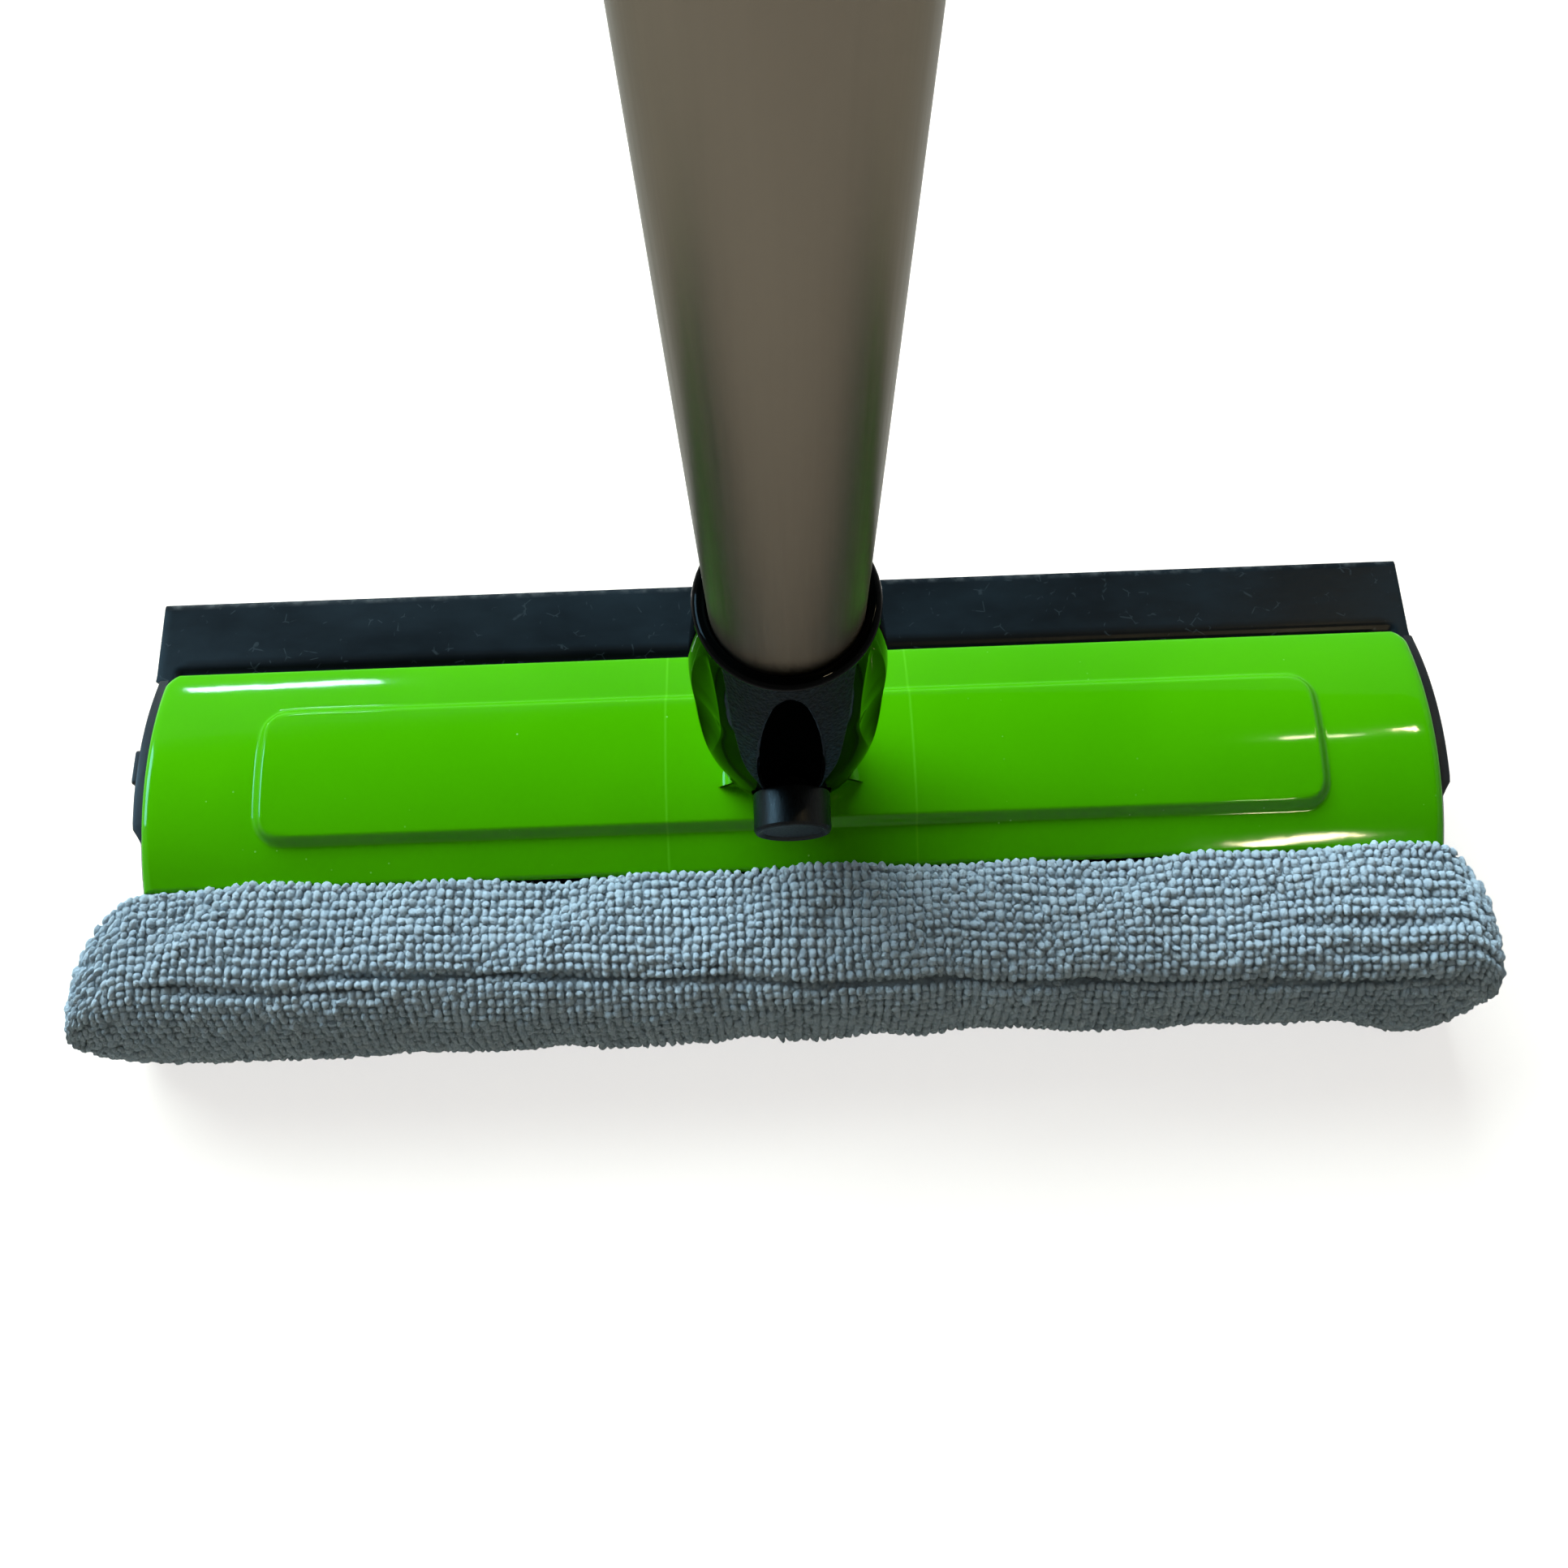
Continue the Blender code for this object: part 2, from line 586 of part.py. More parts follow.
def build_end_cap(name, side, crest, finish):
    """Plate outside the frame's end, a plug into its hollow and a lug to pull it off by."""
    under = ARCH_RADIUS - COVER_WALL - GAP
    back = COVER_BACK - GAP
    front = GAP - COVER_FRONT
    line = between(back, front, 2 * ARCH_STEPS) + [front]
    plate = [(y, arch_height(y, under)) for y in line]
    plate += [(front, DECK_BOTTOM), (back - DECK_THICKNESS, DECK_BOTTOM),
              (back, DECK_BOTTOM + DECK_THICKNESS)]
    inner = COVER_LENGTH / 2 + GAP
    outer = inner + CAP_THICKNESS

    def across(shape_outline, low, high):
        ends = sorted((side * low, side * high))
        return prism(shape_outline, ends[0], ends[1], "X")

    cap = solid(name, across(plate, inner, outer), crest, finish)
    lug_low = arch_height(0, under) - CAP_LUG_HEIGHT
    lug_top = arch_height(CAP_LUG_WIDTH, under) - GAP
    lug = [
        (CAP_LUG_BACK, lug_low), (CAP_LUG_BACK, lug_top),
        (CAP_LUG_BACK - CAP_LUG_WIDTH, lug_top), (CAP_LUG_BACK - CAP_LUG_WIDTH, lug_low),
    ]
    combine(cap, across(lug, outer - EMBED, outer + CAP_LUG_RISE), "UNION", "lug")
    floor = DECK_BOTTOM + DECK_THICKNESS + GAP
    plug = [
        (CAP_PLUG_WIDTH / 2, floor), (CAP_PLUG_WIDTH / 2, floor + CAP_PLUG_HEIGHT),
        (-CAP_PLUG_WIDTH / 2, floor + CAP_PLUG_HEIGHT), (-CAP_PLUG_WIDTH / 2, floor),
    ]
    combine(cap, across(plug, inner - CAP_PLUG_DEPTH, inner + EMBED), "UNION", "plug")


def screw_shape(radius, length, head_radius, head_height):
    """Screw with its head's underside at zero, the shaft upwards and a low domed head."""
    crown = [(head_radius * wide, -head_height * high) for wide, high in SCREW_CROWN_SHARES]
    return turned((
        (0, -head_height), *crown,
        (head_radius, 0), (radius, 0), (radius, length - radius), (0, length),
    ), SMALL_TURN_STEPS // 2)


def build_cover_screws(crest, finish):
    under = DECK_BOTTOM - GAP
    for number, x in enumerate(post_places(), start=1):
        shape = screw_shape(SCREW_RADIUS, SCREW_LENGTH, SCREW_HEAD_RADIUS, SCREW_HEAD_HEIGHT)
        screw = solid(f"cover_screw_{number}", shape, crest, finish)
        screw.location = (x, 0, under)


# Pad
def pad_rings(inset):
    """Sections of the pad along X, drawn in at both ends, with every wall moved in by inset."""
    depth = PAD_DEPTH - 2 * inset
    height = PAD_HEIGHT - 2 * inset
    length = PAD_LENGTH / 2 - inset
    section = closed_curve(PAD_SECTION_SHARES, CURVE_STEPS)
    ends = [(length - PAD_END * (1 - share), d, h) for share, d, h in PAD_END_SHARES]
    stations = [(-x, d, h) for x, d, h in reversed(ends)]
    stations += [(-length / 2, 1, 1), (0, 1, 1), (length / 2, 1, 1)] + ends
    flat = FLOOR + inset
    rings = []
    for x, wide, tall in stations:
        ring = []
        for across, down in section:
            y = PAD_BACK - inset - depth * (PAD_SHRINK_SHARE + (across - PAD_SHRINK_SHARE) * wide)
            z = PAD_TOP - inset - height * (0.5 + (down - 0.5) * tall)
            ring.append((x, y, max(z, flat)))
        rings.append(ring)
    return rings


def build_pad(crest, foam_finish, sleeve_finish):
    sleeve = solid("pad_sleeve", loft(pad_rings(0)), crest, sleeve_finish)
    combine(sleeve, loft(pad_rings(SLEEVE_WALL)), "DIFFERENCE", "pocket")
    root = TONGUE_ROOT_LENGTH / 2 + FOAM_FIT
    mouth = [
        (-root, PAD_BACK + OVERRUN), (-root, PAD_BACK - SLEEVE_WALL - OVERRUN),
        (root, PAD_BACK - SLEEVE_WALL - OVERRUN), (root, PAD_BACK + OVERRUN),
    ]
    slot = prism(mouth, DECK_BOTTOM - FOAM_FIT, DECK_BOTTOM + DECK_THICKNESS + FOAM_FIT, "Z")
    combine(sleeve, slot, "DIFFERENCE", "mouth")
    foam = solid("pad_foam", loft(pad_rings(SLEEVE_WALL + FOAM_FIT)), crest, foam_finish)
    combine(foam, tongue_shape(FOAM_FIT, PAD_BACK + OVERRUN), "DIFFERENCE", "tongue_slot")


# Socket
def socket_half_sizes(share):
    """Half width and half depth of the socket at a share of its height."""
    rows = SOCKET_SHARES + ((1.0, 2 * LIP_RADIUS / BELLY_WIDTH, 2 * LIP_RADIUS / BELLY_DEPTH),)
    for low, high in zip(rows, rows[1:]):
        if share <= high[0]:
            part = (share - low[0]) / (high[0] - low[0])
            wide, deep = (low[k] + (high[k] - low[k]) * part for k in (1, 2))
            return BELLY_WIDTH / 2 * wide, BELLY_DEPTH / 2 * deep
    return BELLY_WIDTH / 2 * rows[-1][1], BELLY_DEPTH / 2 * rows[-1][2]


def socket_rings():
    """Sections from the round chin up over the belly to the lip of the mouth."""
    rows = []
    for share in CHIN_STEP_SHARES:
        left = sqrt(1 - share ** 2)
        deep = CHIN_DEPTH * (CHIN_DEPTH_SHARE + (1 - CHIN_DEPTH_SHARE) * left)
        rows.append((-CHIN_RADIUS * share, CHIN_RADIUS * left, deep))
    for share, _, _ in SOCKET_SHARES:
        rows.append((SOCKET_HEIGHT * share, *socket_half_sizes(share)))
    neck = LIP_RADIUS - GAP
    rows.append((SOCKET_HEIGHT - LIP_HEIGHT, neck - GAP, neck - GAP))
    for share in LIP_SHARES:
        rows.append((SOCKET_HEIGHT - LIP_HEIGHT * share, LIP_RADIUS, LIP_RADIUS))
    rows.append((SOCKET_HEIGHT, neck, neck))
    return [
        [(x, y, height) for x, y in ellipse(wide, deep, SOCKET_STEPS)]
        for height, wide, deep in rows
    ]


def dent(shares, half_width, depth, turn):
    """Tool for a long shallow dent: ellipses that enter the socket's skin by a depth that
    grows and fades along the height. It faces the front, turned towards +X by turn."""
    outward = Vector((sin(turn), -cos(turn)))
    sideways = Vector((cos(turn), sin(turn)))
    rings = []
    for share, wide_share, deep_share in shares:
        wide, deep = socket_half_sizes(share)
        surface = 1 / sqrt((outward.x / wide) ** 2 + (outward.y / deep) ** 2)
        into = depth * deep_share + DENT_CENTRE
        along = half_width * wide_share / sqrt(1 - (DENT_CENTRE / into) ** 2)
        ring = []
        for u, v in ellipse(along, into, SMALL_TURN_STEPS):
            place = sideways * u + outward * (surface + DENT_CENTRE + v)
            ring.append((place.x, place.y, SOCKET_HEIGHT * share))
        rings.append(ring)
    return loft(rings)


def build_socket(pivot, finish):
    socket = solid("pole_socket", loft(socket_rings()), pivot, finish)
    wide = BELLY_WIDTH
    slot = [
        (-SLOT_HALF, -CHIN_RADIUS - OVERRUN), (SLOT_HALF, -CHIN_RADIUS - OVERRUN),
        (SLOT_HALF, SLOT_RISE), (-SLOT_HALF, SLOT_RISE),
    ]
    combine(socket, prism(slot, -wide, wide, "X"), "DIFFERENCE", "ear_slot")
    inner = SLOT_HALF + EMBED
    tip = SLOT_HALF - RING_BOSS_HEIGHT
    bosses = [
        along_y(cylinder(RING_BOSS_RADIUS, -inner, -tip)),
        along_y(cylinder(RING_BOSS_RADIUS, tip, inner)),
    ]
    combine(socket, joined(bosses), "UNION", "bearing_bosses")
    tube_bore = cylinder(
        TUBE_RADIUS + GAP, SOCKET_HEIGHT - SOCKET_DEPTH - GAP, SOCKET_HEIGHT + OVERRUN, TURN_STEPS
    )
    combine(socket, tube_bore, "DIFFERENCE", "tube_bore")
    recess = dent(RECESS_SHARES, RECESS_HALF_WIDTH, RECESS_DEPTH, 0)
    combine(socket, recess, "DIFFERENCE", "recess")
    for turn, label in ((-SCALLOP_TURN, "left_scallop"), (SCALLOP_TURN, "right_scallop")):
        scallop = dent(SCALLOP_SHARES, SCALLOP_HALF_WIDTH, SCALLOP_DEPTH, turn)
        combine(socket, scallop, "DIFFERENCE", label)
    floor = BUTTON_SEAT - BUTTON_TRAVEL - GAP
    head_bore = along_y(cylinder(BUTTON_RADIUS + GAP, -BELLY_DEPTH, -floor, TURN_STEPS))
    combine(socket, head_bore, "DIFFERENCE", "button_bore")
    flats = SHANK_FLATS + 2 * SHANK_FIT
    shank_hole = prism(hexagon(flats), -floor - OVERRUN, -tip + OVERRUN, "Y")
    combine(socket, shank_hole, "DIFFERENCE", "shank_hole")
    rear = turned((
        (0, tip - OVERRUN), (SPRING_CHAMBER, tip - OVERRUN), (SPRING_CHAMBER, SPRING_SEAT),
        (CAP_BORE_RADIUS, SPRING_SEAT), (CAP_BORE_RADIUS, BELLY_DEPTH), (0, BELLY_DEPTH),
    ))
    combine(socket, along_y(rear), "DIFFERENCE", "rear_bore")
    seat = tube_screw_seat()
    screw_bore = turned((
        (0, 0), (TUBE_SCREW_RADIUS + GAP, 0), (TUBE_SCREW_RADIUS + GAP, seat),
        (TUBE_SCREW_HEAD_RADIUS + GAP, seat), (TUBE_SCREW_HEAD_RADIUS + GAP, BELLY_DEPTH),
        (0, BELLY_DEPTH),
    ), SMALL_TURN_STEPS)
    screw_bore = moved(along_y(screw_bore), (0, 0, TUBE_SCREW_RISE))
    combine(socket, screw_bore, "DIFFERENCE", "screw_bore")


def tube_screw_seat():
    """How far behind the pole's axis the tube screw's head sits, just under the skin."""
    _, deep = socket_half_sizes(TUBE_SCREW_RISE / SOCKET_HEIGHT)
    return deep - 2 * GAP


def build_button(press, finish, cone_finish, screw_finish):
    head = turned((
        (0, -BUTTON_FRONT), (BUTTON_RADIUS - BUTTON_EDGE, -BUTTON_FRONT),
        (BUTTON_RADIUS, BUTTON_EDGE - BUTTON_FRONT), (BUTTON_RADIUS, -BUTTON_SEAT),
        (0, -BUTTON_SEAT),
    ))
    button = solid("pivot_button", along_y(head), press, finish)
    shank = prism(hexagon(SHANK_FLATS), -BUTTON_SEAT - EMBED, -SHANK_END - GAP, "Y")
    combine(button, shank, "UNION", "shank")
    pilot_start = CONE_SCREW_LENGTH - CONE_SEAT_END - CONE_RIM + GAP
    pilot = cylinder(CONE_SCREW_RADIUS + GAP, -pilot_start, 0, SMALL_TURN_STEPS // 2)
    combine(button, along_y(pilot), "DIFFERENCE", "pilot")
    slope = (CONE_LARGE_RADIUS - CONE_SMALL_RADIUS) / (CONE_SEAT_START + CONE_SEAT_END)
    lift = GAP * sqrt(1 + slope ** 2)
    small = CONE_SMALL_RADIUS + slope * GAP - lift
    large = CONE_LARGE_RADIUS - lift
    rear = CONE_SEAT_END + CONE_RIM
    hole = CONE_SCREW_RADIUS + GAP
    cone = turned((
        (hole, GAP - CONE_SEAT_START), (small, GAP - CONE_SEAT_START), (large, CONE_SEAT_END),
        (large, rear), (hole, rear),
    ), SMALL_TURN_STEPS)
    solid("brake_cone", along_y(cone), press, cone_finish)
    screw = screw_shape(
        CONE_SCREW_RADIUS, CONE_SCREW_LENGTH, CONE_SCREW_HEAD_RADIUS, CONE_SCREW_HEAD_HEIGHT
    )
    solid("cone_screw", moved(from_behind(screw), (0, rear + GAP, 0)), press, screw_finish)


def build_spring(pivot, finish):
    """Helix from the cone's rear face to the pivot cap."""
    low = CONE_SEAT_END + CONE_RIM + GAP + SPRING_WIRE / 2
    high = SPRING_SEAT - SPRING_WIRE / 2
    count = round(SPRING_TURNS * WIRE_STEPS)
    curve = bpy.data.curves.new("cone_spring", "CURVE")
    curve.dimensions = "3D"
    curve.bevel_depth = SPRING_WIRE / 2
    curve.bevel_resolution = 1
    curve.use_fill_caps = True
    wire = curve.splines.new("POLY")
    wire.points.add(count)
    for i, point in enumerate(wire.points):
        turn = 2 * pi * i / WIRE_STEPS
        y = low + (high - low) * i / count
        point.co = (SPRING_RADIUS * cos(turn), y, SPRING_RADIUS * sin(turn), 1)
    spring = bpy.data.objects.new("cone_spring", curve)
    spring.parent = pivot
    curve.materials.append(finish)
    bpy.context.scene.collection.objects.link(spring)
    least_gap = (high - low) / SPRING_TURNS - SPRING_WIRE
    print(f"cone_spring: least gap between turns {1000 * least_gap:.2f} mm")


def build_pivot_cap(pivot, finish):
    """Disc that closes the fork's rear bore, with a coin slot."""
    radius = CAP_BORE_RADIUS - GAP
    front = SPRING_SEAT + GAP
    back = front + PIVOT_CAP_LENGTH
    disc = turned((
        (0, front), (radius, front), (radius, back - BUTTON_EDGE), (radius - BUTTON_EDGE, back),
        (0, back),
    ))
    cap = solid("pivot_cap", along_y(disc), pivot, finish)
    long = COIN_SLOT_LENGTH / 2
    wide = COIN_SLOT_WIDTH / 2
    slot = [(-long, -wide), (long, -wide), (long, wide), (-long, wide)]
    combine(cap, prism(slot, back - COIN_SLOT_DEPTH, back + OVERRUN, "Y"), "DIFFERENCE", "slot")


def build_tube_screw(pole, finish):
    screw = screw_shape(
        TUBE_SCREW_RADIUS, tube_screw_seat() + GAP - TUBE_SCREW_REACH,
        TUBE_SCREW_HEAD_RADIUS, TUBE_SCREW_HEAD_HEIGHT,
    )
    place = (0, tube_screw_seat() + GAP, PIVOT_RISE + TUBE_SCREW_RISE)
    solid("tube_screw", moved(from_behind(screw), place), pole, finish)


# Pole
def pipe(outer, wall, low, high):
    inner = outer - wall
    return turned(((outer, low), (outer, high), (inner, high), (inner, low)))


def build_lower_pole(pole, tube_finish, plastic):
    top = TUBE_FOOT + TUBE_LENGTH
    tube = solid("inner_tube", pipe(TUBE_RADIUS, TUBE_WALL, TUBE_FOOT, top), pole, tube_finish)
    hole = along_y(cylinder(TUBE_SCREW_RADIUS + GAP, 0, BELLY_DEPTH))
    hole = moved(hole, (0, 0, PIVOT_RISE + TUBE_SCREW_RISE))
    combine(tube, hole, "DIFFERENCE", "screw_hole")
    spigot = TUBE_RADIUS - TUBE_WALL - GAP
    flange = OUTER_RADIUS - OUTER_WALL - TUBE_FLANGE_FIT
    bush = turned((
        (0, top - TUBE_PLUG_LENGTH), (spigot, top - TUBE_PLUG_LENGTH), (spigot, top + GAP),
        (flange, top + GAP), (flange, top + TUBE_FLANGE), (0, top + TUBE_FLANGE),
    ))
    solid("inner_bush", bush, pole, plastic)


def build_upper_pole(slide, tube_finish, plastic, foam):
    """Outer tube, lock body and collet, grip and hanging cap, all carried up by the slide."""
    foot = OUTER_FOOT
    top = foot + OUTER_LENGTH
    solid("outer_tube", pipe(OUTER_RADIUS, OUTER_WALL, foot, top), slide, tube_finish)
    running = TUBE_RADIUS + GAP
    nose = foot - COLLET_LENGTH
    stop = foot - GAP
    skirt = OUTER_RADIUS + GAP
    rim = nose + BODY_LENGTH
    shoulder = LOCK_HEIGHT + LOCK_LENGTH + GAP
    cone = COLLET_RADIUS + GAP
    body = turned((
        (NOSE_RADIUS, nose), (NOSE_RADIUS, shoulder), (LOCK_RADIUS - GAP, shoulder),
        (LOCK_RADIUS - GAP, shoulder + LOCK_LIP), (BODY_RADIUS, rim - LOCK_LIP),
        (BODY_RADIUS, rim), (skirt, rim), (skirt, stop), (running, stop),
        (running, stop - LOCK_LIP / 2), (cone, nose),
    ))
    solid("lock_body", body, slide, plastic)
    low = LOCK_HEIGHT + LOCK_LIP + GAP
    high = low + COLLET_LENGTH - 2 * GAP
    collet = turned((
        (running, low), (COLLET_RADIUS, low), (COLLET_RADIUS, nose - GAP),
        (COLLET_TIP_RADIUS, nose - GAP), (running + GAP, high), (running, high),
    ))
    collet = solid("collet", collet, slide, plastic)
    half = COLLET_SPLIT / 2
    gap = [(0, -half), (LOCK_RADIUS, -half), (LOCK_RADIUS, half), (0, half)]
    combine(collet, prism(gap, low - OVERRUN, high + OVERRUN, "Z"), "DIFFERENCE", "split")
    build_grip(slide, foam, top)
    build_hang_cap(slide, plastic, top)


def build_grip(slide, finish, top):
    """Foam sleeve with shallow rounded grooves round it."""
    inner = OUTER_RADIUS + GAP
    high = top - GAP
    low = high - GRIP_LENGTH
    edge = GRIP_RADIUS - inner
    line = [(inner, low), (GRIP_RADIUS - edge / 2, low), (GRIP_RADIUS, low + edge / 2)]
    pitch = (GRIP_LENGTH - 2 * edge) / GRIP_GROOVES
    for i in range(GRIP_GROOVES):
        start = low + edge + pitch * i
        for share, depth_share in GRIP_GROOVE_SHARES:
            line.append((GRIP_RADIUS - GRIP_GROOVE_DEPTH * depth_share, start + pitch * share))
    line += [(GRIP_RADIUS, high - edge / 2), (GRIP_RADIUS - edge / 2, high), (inner, high)]
    solid("grip", turned(line, GRIP_STEPS), slide, finish)


def build_hang_cap(slide, finish, top):
    """Plug in the tube's end with a flattened tab and a hanging hole."""
    spigot = OUTER_RADIUS - OUTER_WALL - GAP
    foot = top + GAP
    crown = foot + HANG_HEIGHT
    plug = turned((
        (0, top - HANG_SPIGOT), (spigot, top - HANG_SPIGOT), (spigot, foot),
        (HANG_RADIUS, foot), (HANG_RADIUS, foot + HANG_TAB_RISE),
        (HANG_RADIUS - HANG_EDGE, foot + HANG_TAB_RISE + HANG_EDGE),
        (0, foot + HANG_TAB_RISE + HANG_EDGE),
    ))
    cap = solid("hang_cap", plug, slide, finish)
    low = foot + HANG_TAB_RISE
    flat = HANG_CROWN_WIDTH / 2
    side = HANG_RADIUS - HANG_EDGE
    bend = crown - (side - flat)
    tab = [(-side, low), (side, low), (side, bend)]
    tab += [
        (flat + (side - flat) * cos(turn), bend + (side - flat) * sin(turn))
        for turn in (i * pi / 2 / CORNER_STEPS for i in range(1, CORNER_STEPS + 1))
    ]
    tab += [(-x, z) for x, z in reversed(tab[3:])] + [(-side, bend)]
    half = HANG_TAB_THICKNESS / 2
    combine(cap, prism(tab, -half, half, "Y"), "UNION", "tab")
    radius = HANG_HOLE_WIDTH / 2
    middle = crown - (side - flat) - radius
    reach = (HANG_HOLE_HEIGHT - HANG_HOLE_WIDTH) / 2
    hole = []
    for i in range(2 * CORNER_STEPS + 1):
        turn = i * pi / 2 / CORNER_STEPS
        hole.append((radius * cos(turn), middle + reach + radius * sin(turn)))
    hole += [(-x, 2 * middle - z) for x, z in hole]
    combine(cap, prism(hole, -HANG_RADIUS, HANG_RADIUS, "Y"), "DIFFERENCE", "hang_hole")


def build_lock_sleeve(twist, finish):
    """Twist nut: fluted outside, a lip under the collet, open above."""
    count = FLUTE_STEPS * FLUTE_COUNT
    outline = []
    for i in range(count):
        radius = LOCK_RADIUS - FLUTE_DEPTH * (1 - cos(2 * pi * i / FLUTE_STEPS)) / 2
        outline.append((radius * cos(2 * pi * i / count), radius * sin(2 * pi * i / count)))
    edge = LOCK_LIP / 2
    shrink = 1 - edge / LOCK_RADIUS
    rings = []
    for height, scale in ((0, shrink), (edge, 1), (LOCK_LENGTH - edge, 1), (LOCK_LENGTH, shrink)):
        rings.append([(x * scale, y * scale, height) for x, y in outline])
    sleeve = solid("lock_sleeve", loft(rings), twist, finish)
    running = TUBE_RADIUS + GAP
    wide = NOSE_RADIUS + GAP
    bore = turned((
        (0, -OVERRUN), (running, -OVERRUN), (running, LOCK_LIP), (wide, LOCK_LIP),
        (wide, LOCK_LENGTH + OVERRUN), (0, LOCK_LENGTH + OVERRUN),
    ))
    combine(sleeve, bore, "DIFFERENCE", "bore")


def main():
    for old in list(bpy.data.objects):
        bpy.data.objects.remove(old, do_unlink=True)

    lime = material("lime_gloss", (0.075, 0.520, 0.003), 0.18)
    black = material("black_plastic", (0.012, 0.013, 0.015), 0.35)
    rubber = material("black_rubber", (0.016, 0.019, 0.021), 0.60)
    grey_loops = material("grey_microfibre", (0.36, 0.43, 0.46), 0.95)
    foam = material("pad_foam", (0.50, 0.50, 0.48), 0.90)
    satin = material("satin_tube", (0.42, 0.38, 0.33), 0.38, 1.0)
    steel = material("bright_steel", (0.60, 0.60, 0.58), 0.30, 1.0)
    grip_foam = material("grip_foam", (0.020, 0.020, 0.022), 0.85)

    crest = empty("head_crest", (0, -POLE_PLACE, -FLOOR))
    swivel = empty("swivel_axis", (0, 0, PIVOT_RISE), crest)
    press = empty("press_axis", (0, 0, 0), swivel)
    pole = empty("pole_axis", (0, 0, 0), crest)
    slide = empty("slide_axis", (0, 0, 0), pole)
    twist = empty("twist_axis", (0, 0, LOCK_HEIGHT), slide)

    build_cover(crest, lime)
    build_frame(crest, black)
    build_blade(crest, rubber)
    build_end_cap("end_cap_left", -1, crest, black)
    build_end_cap("end_cap_right", 1, crest, black)
    build_cover_screws(crest, steel)
    build_pad(crest, foam, grey_loops)
    build_socket(swivel, black)
    build_button(press, black, steel, steel)
    build_spring(swivel, steel)
    build_pivot_cap(swivel, black)
    build_tube_screw(pole, steel)
    build_lower_pole(pole, satin, black)
    build_upper_pole(slide, satin, black, grip_foam)
    build_lock_sleeve(twist, black)


main()
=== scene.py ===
from math import pi, radians

import bmesh
import bpy
import numpy as np
from mathutils import Matrix, Vector


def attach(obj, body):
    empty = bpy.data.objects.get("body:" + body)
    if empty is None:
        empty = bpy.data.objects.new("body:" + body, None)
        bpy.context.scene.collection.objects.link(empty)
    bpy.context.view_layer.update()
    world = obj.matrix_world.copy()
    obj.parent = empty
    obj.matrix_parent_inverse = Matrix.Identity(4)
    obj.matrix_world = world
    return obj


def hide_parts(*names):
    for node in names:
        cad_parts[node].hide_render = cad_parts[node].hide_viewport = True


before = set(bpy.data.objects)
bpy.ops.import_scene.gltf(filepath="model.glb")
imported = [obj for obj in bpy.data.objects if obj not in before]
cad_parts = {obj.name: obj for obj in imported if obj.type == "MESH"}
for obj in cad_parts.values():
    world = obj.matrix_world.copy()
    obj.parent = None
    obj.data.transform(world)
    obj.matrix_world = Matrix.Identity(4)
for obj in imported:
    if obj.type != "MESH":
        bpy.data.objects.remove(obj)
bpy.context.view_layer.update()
print("frame loaded:", len(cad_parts), "nodes")

# Where the head's own measures start: the pole's axis, the cover's crest, the swivel axis
place = {"axisY": 0.005, "crestZ": 0.038, "pivotZ": 0.0535}


# Shared shapes
# Three coordinates, spread to one grid and put side by side
def gathered(x, y, z):
    return np.stack(np.broadcast_arrays(x, y, z), -1)


# Quads between neighbours of a rows x columns grid of points, wrapped round where asked
def gridFaces(rows, columns, wrapRows=False, wrapColumns=False):
    i, j = np.ogrid[: rows - 1 + wrapRows, : columns - 1 + wrapColumns]
    ni, nj = (i + 1) % rows, (j + 1) % columns
    corners = (i * columns + j, ni * columns + j, ni * columns + nj, i * columns + nj)
    return np.stack(corners, -1).reshape(-1, 4)


# Rings skinned in order, each end closed by a fan to the ring's middle
def closedSkin(rings):
    rows, columns = rings.shape[:2]
    j = np.arange(columns)
    nj = (j + 1) % columns
    last = (rows - 1) * columns
    first = gathered(rows * columns, j, nj)
    final = gathered(rows * columns + 1, last + nj, last + j)
    points = np.concatenate([rings.reshape(-1, 3), rings[0].mean(0)[None], rings[-1].mean(0)[None]])
    return points, [gridFaces(rows, columns, False, True), first, final]


# A skin that closes on itself both ways, as a pipe with a wall does
def loopSkin(rings):
    rows, columns = rings.shape[:2]
    return rings.reshape(-1, 3), [gridFaces(rows, columns, True, True)]


# Volume under the faces, as the sum of the triple products of their corners: negative when inside out
def signedVolume(points, faces):
    total = 0.0
    for part in faces:
        for k in range(1, part.shape[1] - 1):
            a, b, c = points[part[:, 0]], points[part[:, k]], points[part[:, k + 1]]
            total += float((a * np.cross(b, c)).sum())
    return total


# Mesh object from several closed skins, each turned to face outwards
def meshObject(name, skins, values=None):
    allPoints, allFaces, count = [], [], 0
    for points, faces in skins:
        turned = signedVolume(points - points.mean(0), faces) < 0
        allFaces += [(part[:, ::-1] if turned else part) + count for part in faces]
        allPoints.append(points)
        count += len(points)
    corners = np.concatenate([part.ravel() for part in allFaces])
    sizes = np.concatenate([np.full(len(part), part.shape[1]) for part in allFaces])
    mesh = bpy.data.meshes.new(name)
    mesh.vertices.add(count)
    mesh.vertices.foreach_set("co", np.concatenate(allPoints).astype(np.float32).ravel())
    mesh.loops.add(len(corners))
    mesh.loops.foreach_set("vertex_index", corners.astype(np.int32))
    mesh.polygons.add(len(sizes))
    mesh.polygons.foreach_set("loop_start", (np.cumsum(sizes) - sizes).astype(np.int32))
    mesh.update(calc_edges=True)
    for key, value in (values or {}).items():
        attribute = mesh.attributes.new(key, "FLOAT", "POINT")
        attribute.data.foreach_set("value", value.astype(np.float32).ravel())
    made = bpy.data.objects.new(name, mesh)
    bpy.context.scene.collection.objects.link(made)
    return made


def removed(piece):
    old = piece.data
    bpy.data.objects.remove(piece)
    bpy.data.meshes.remove(old)


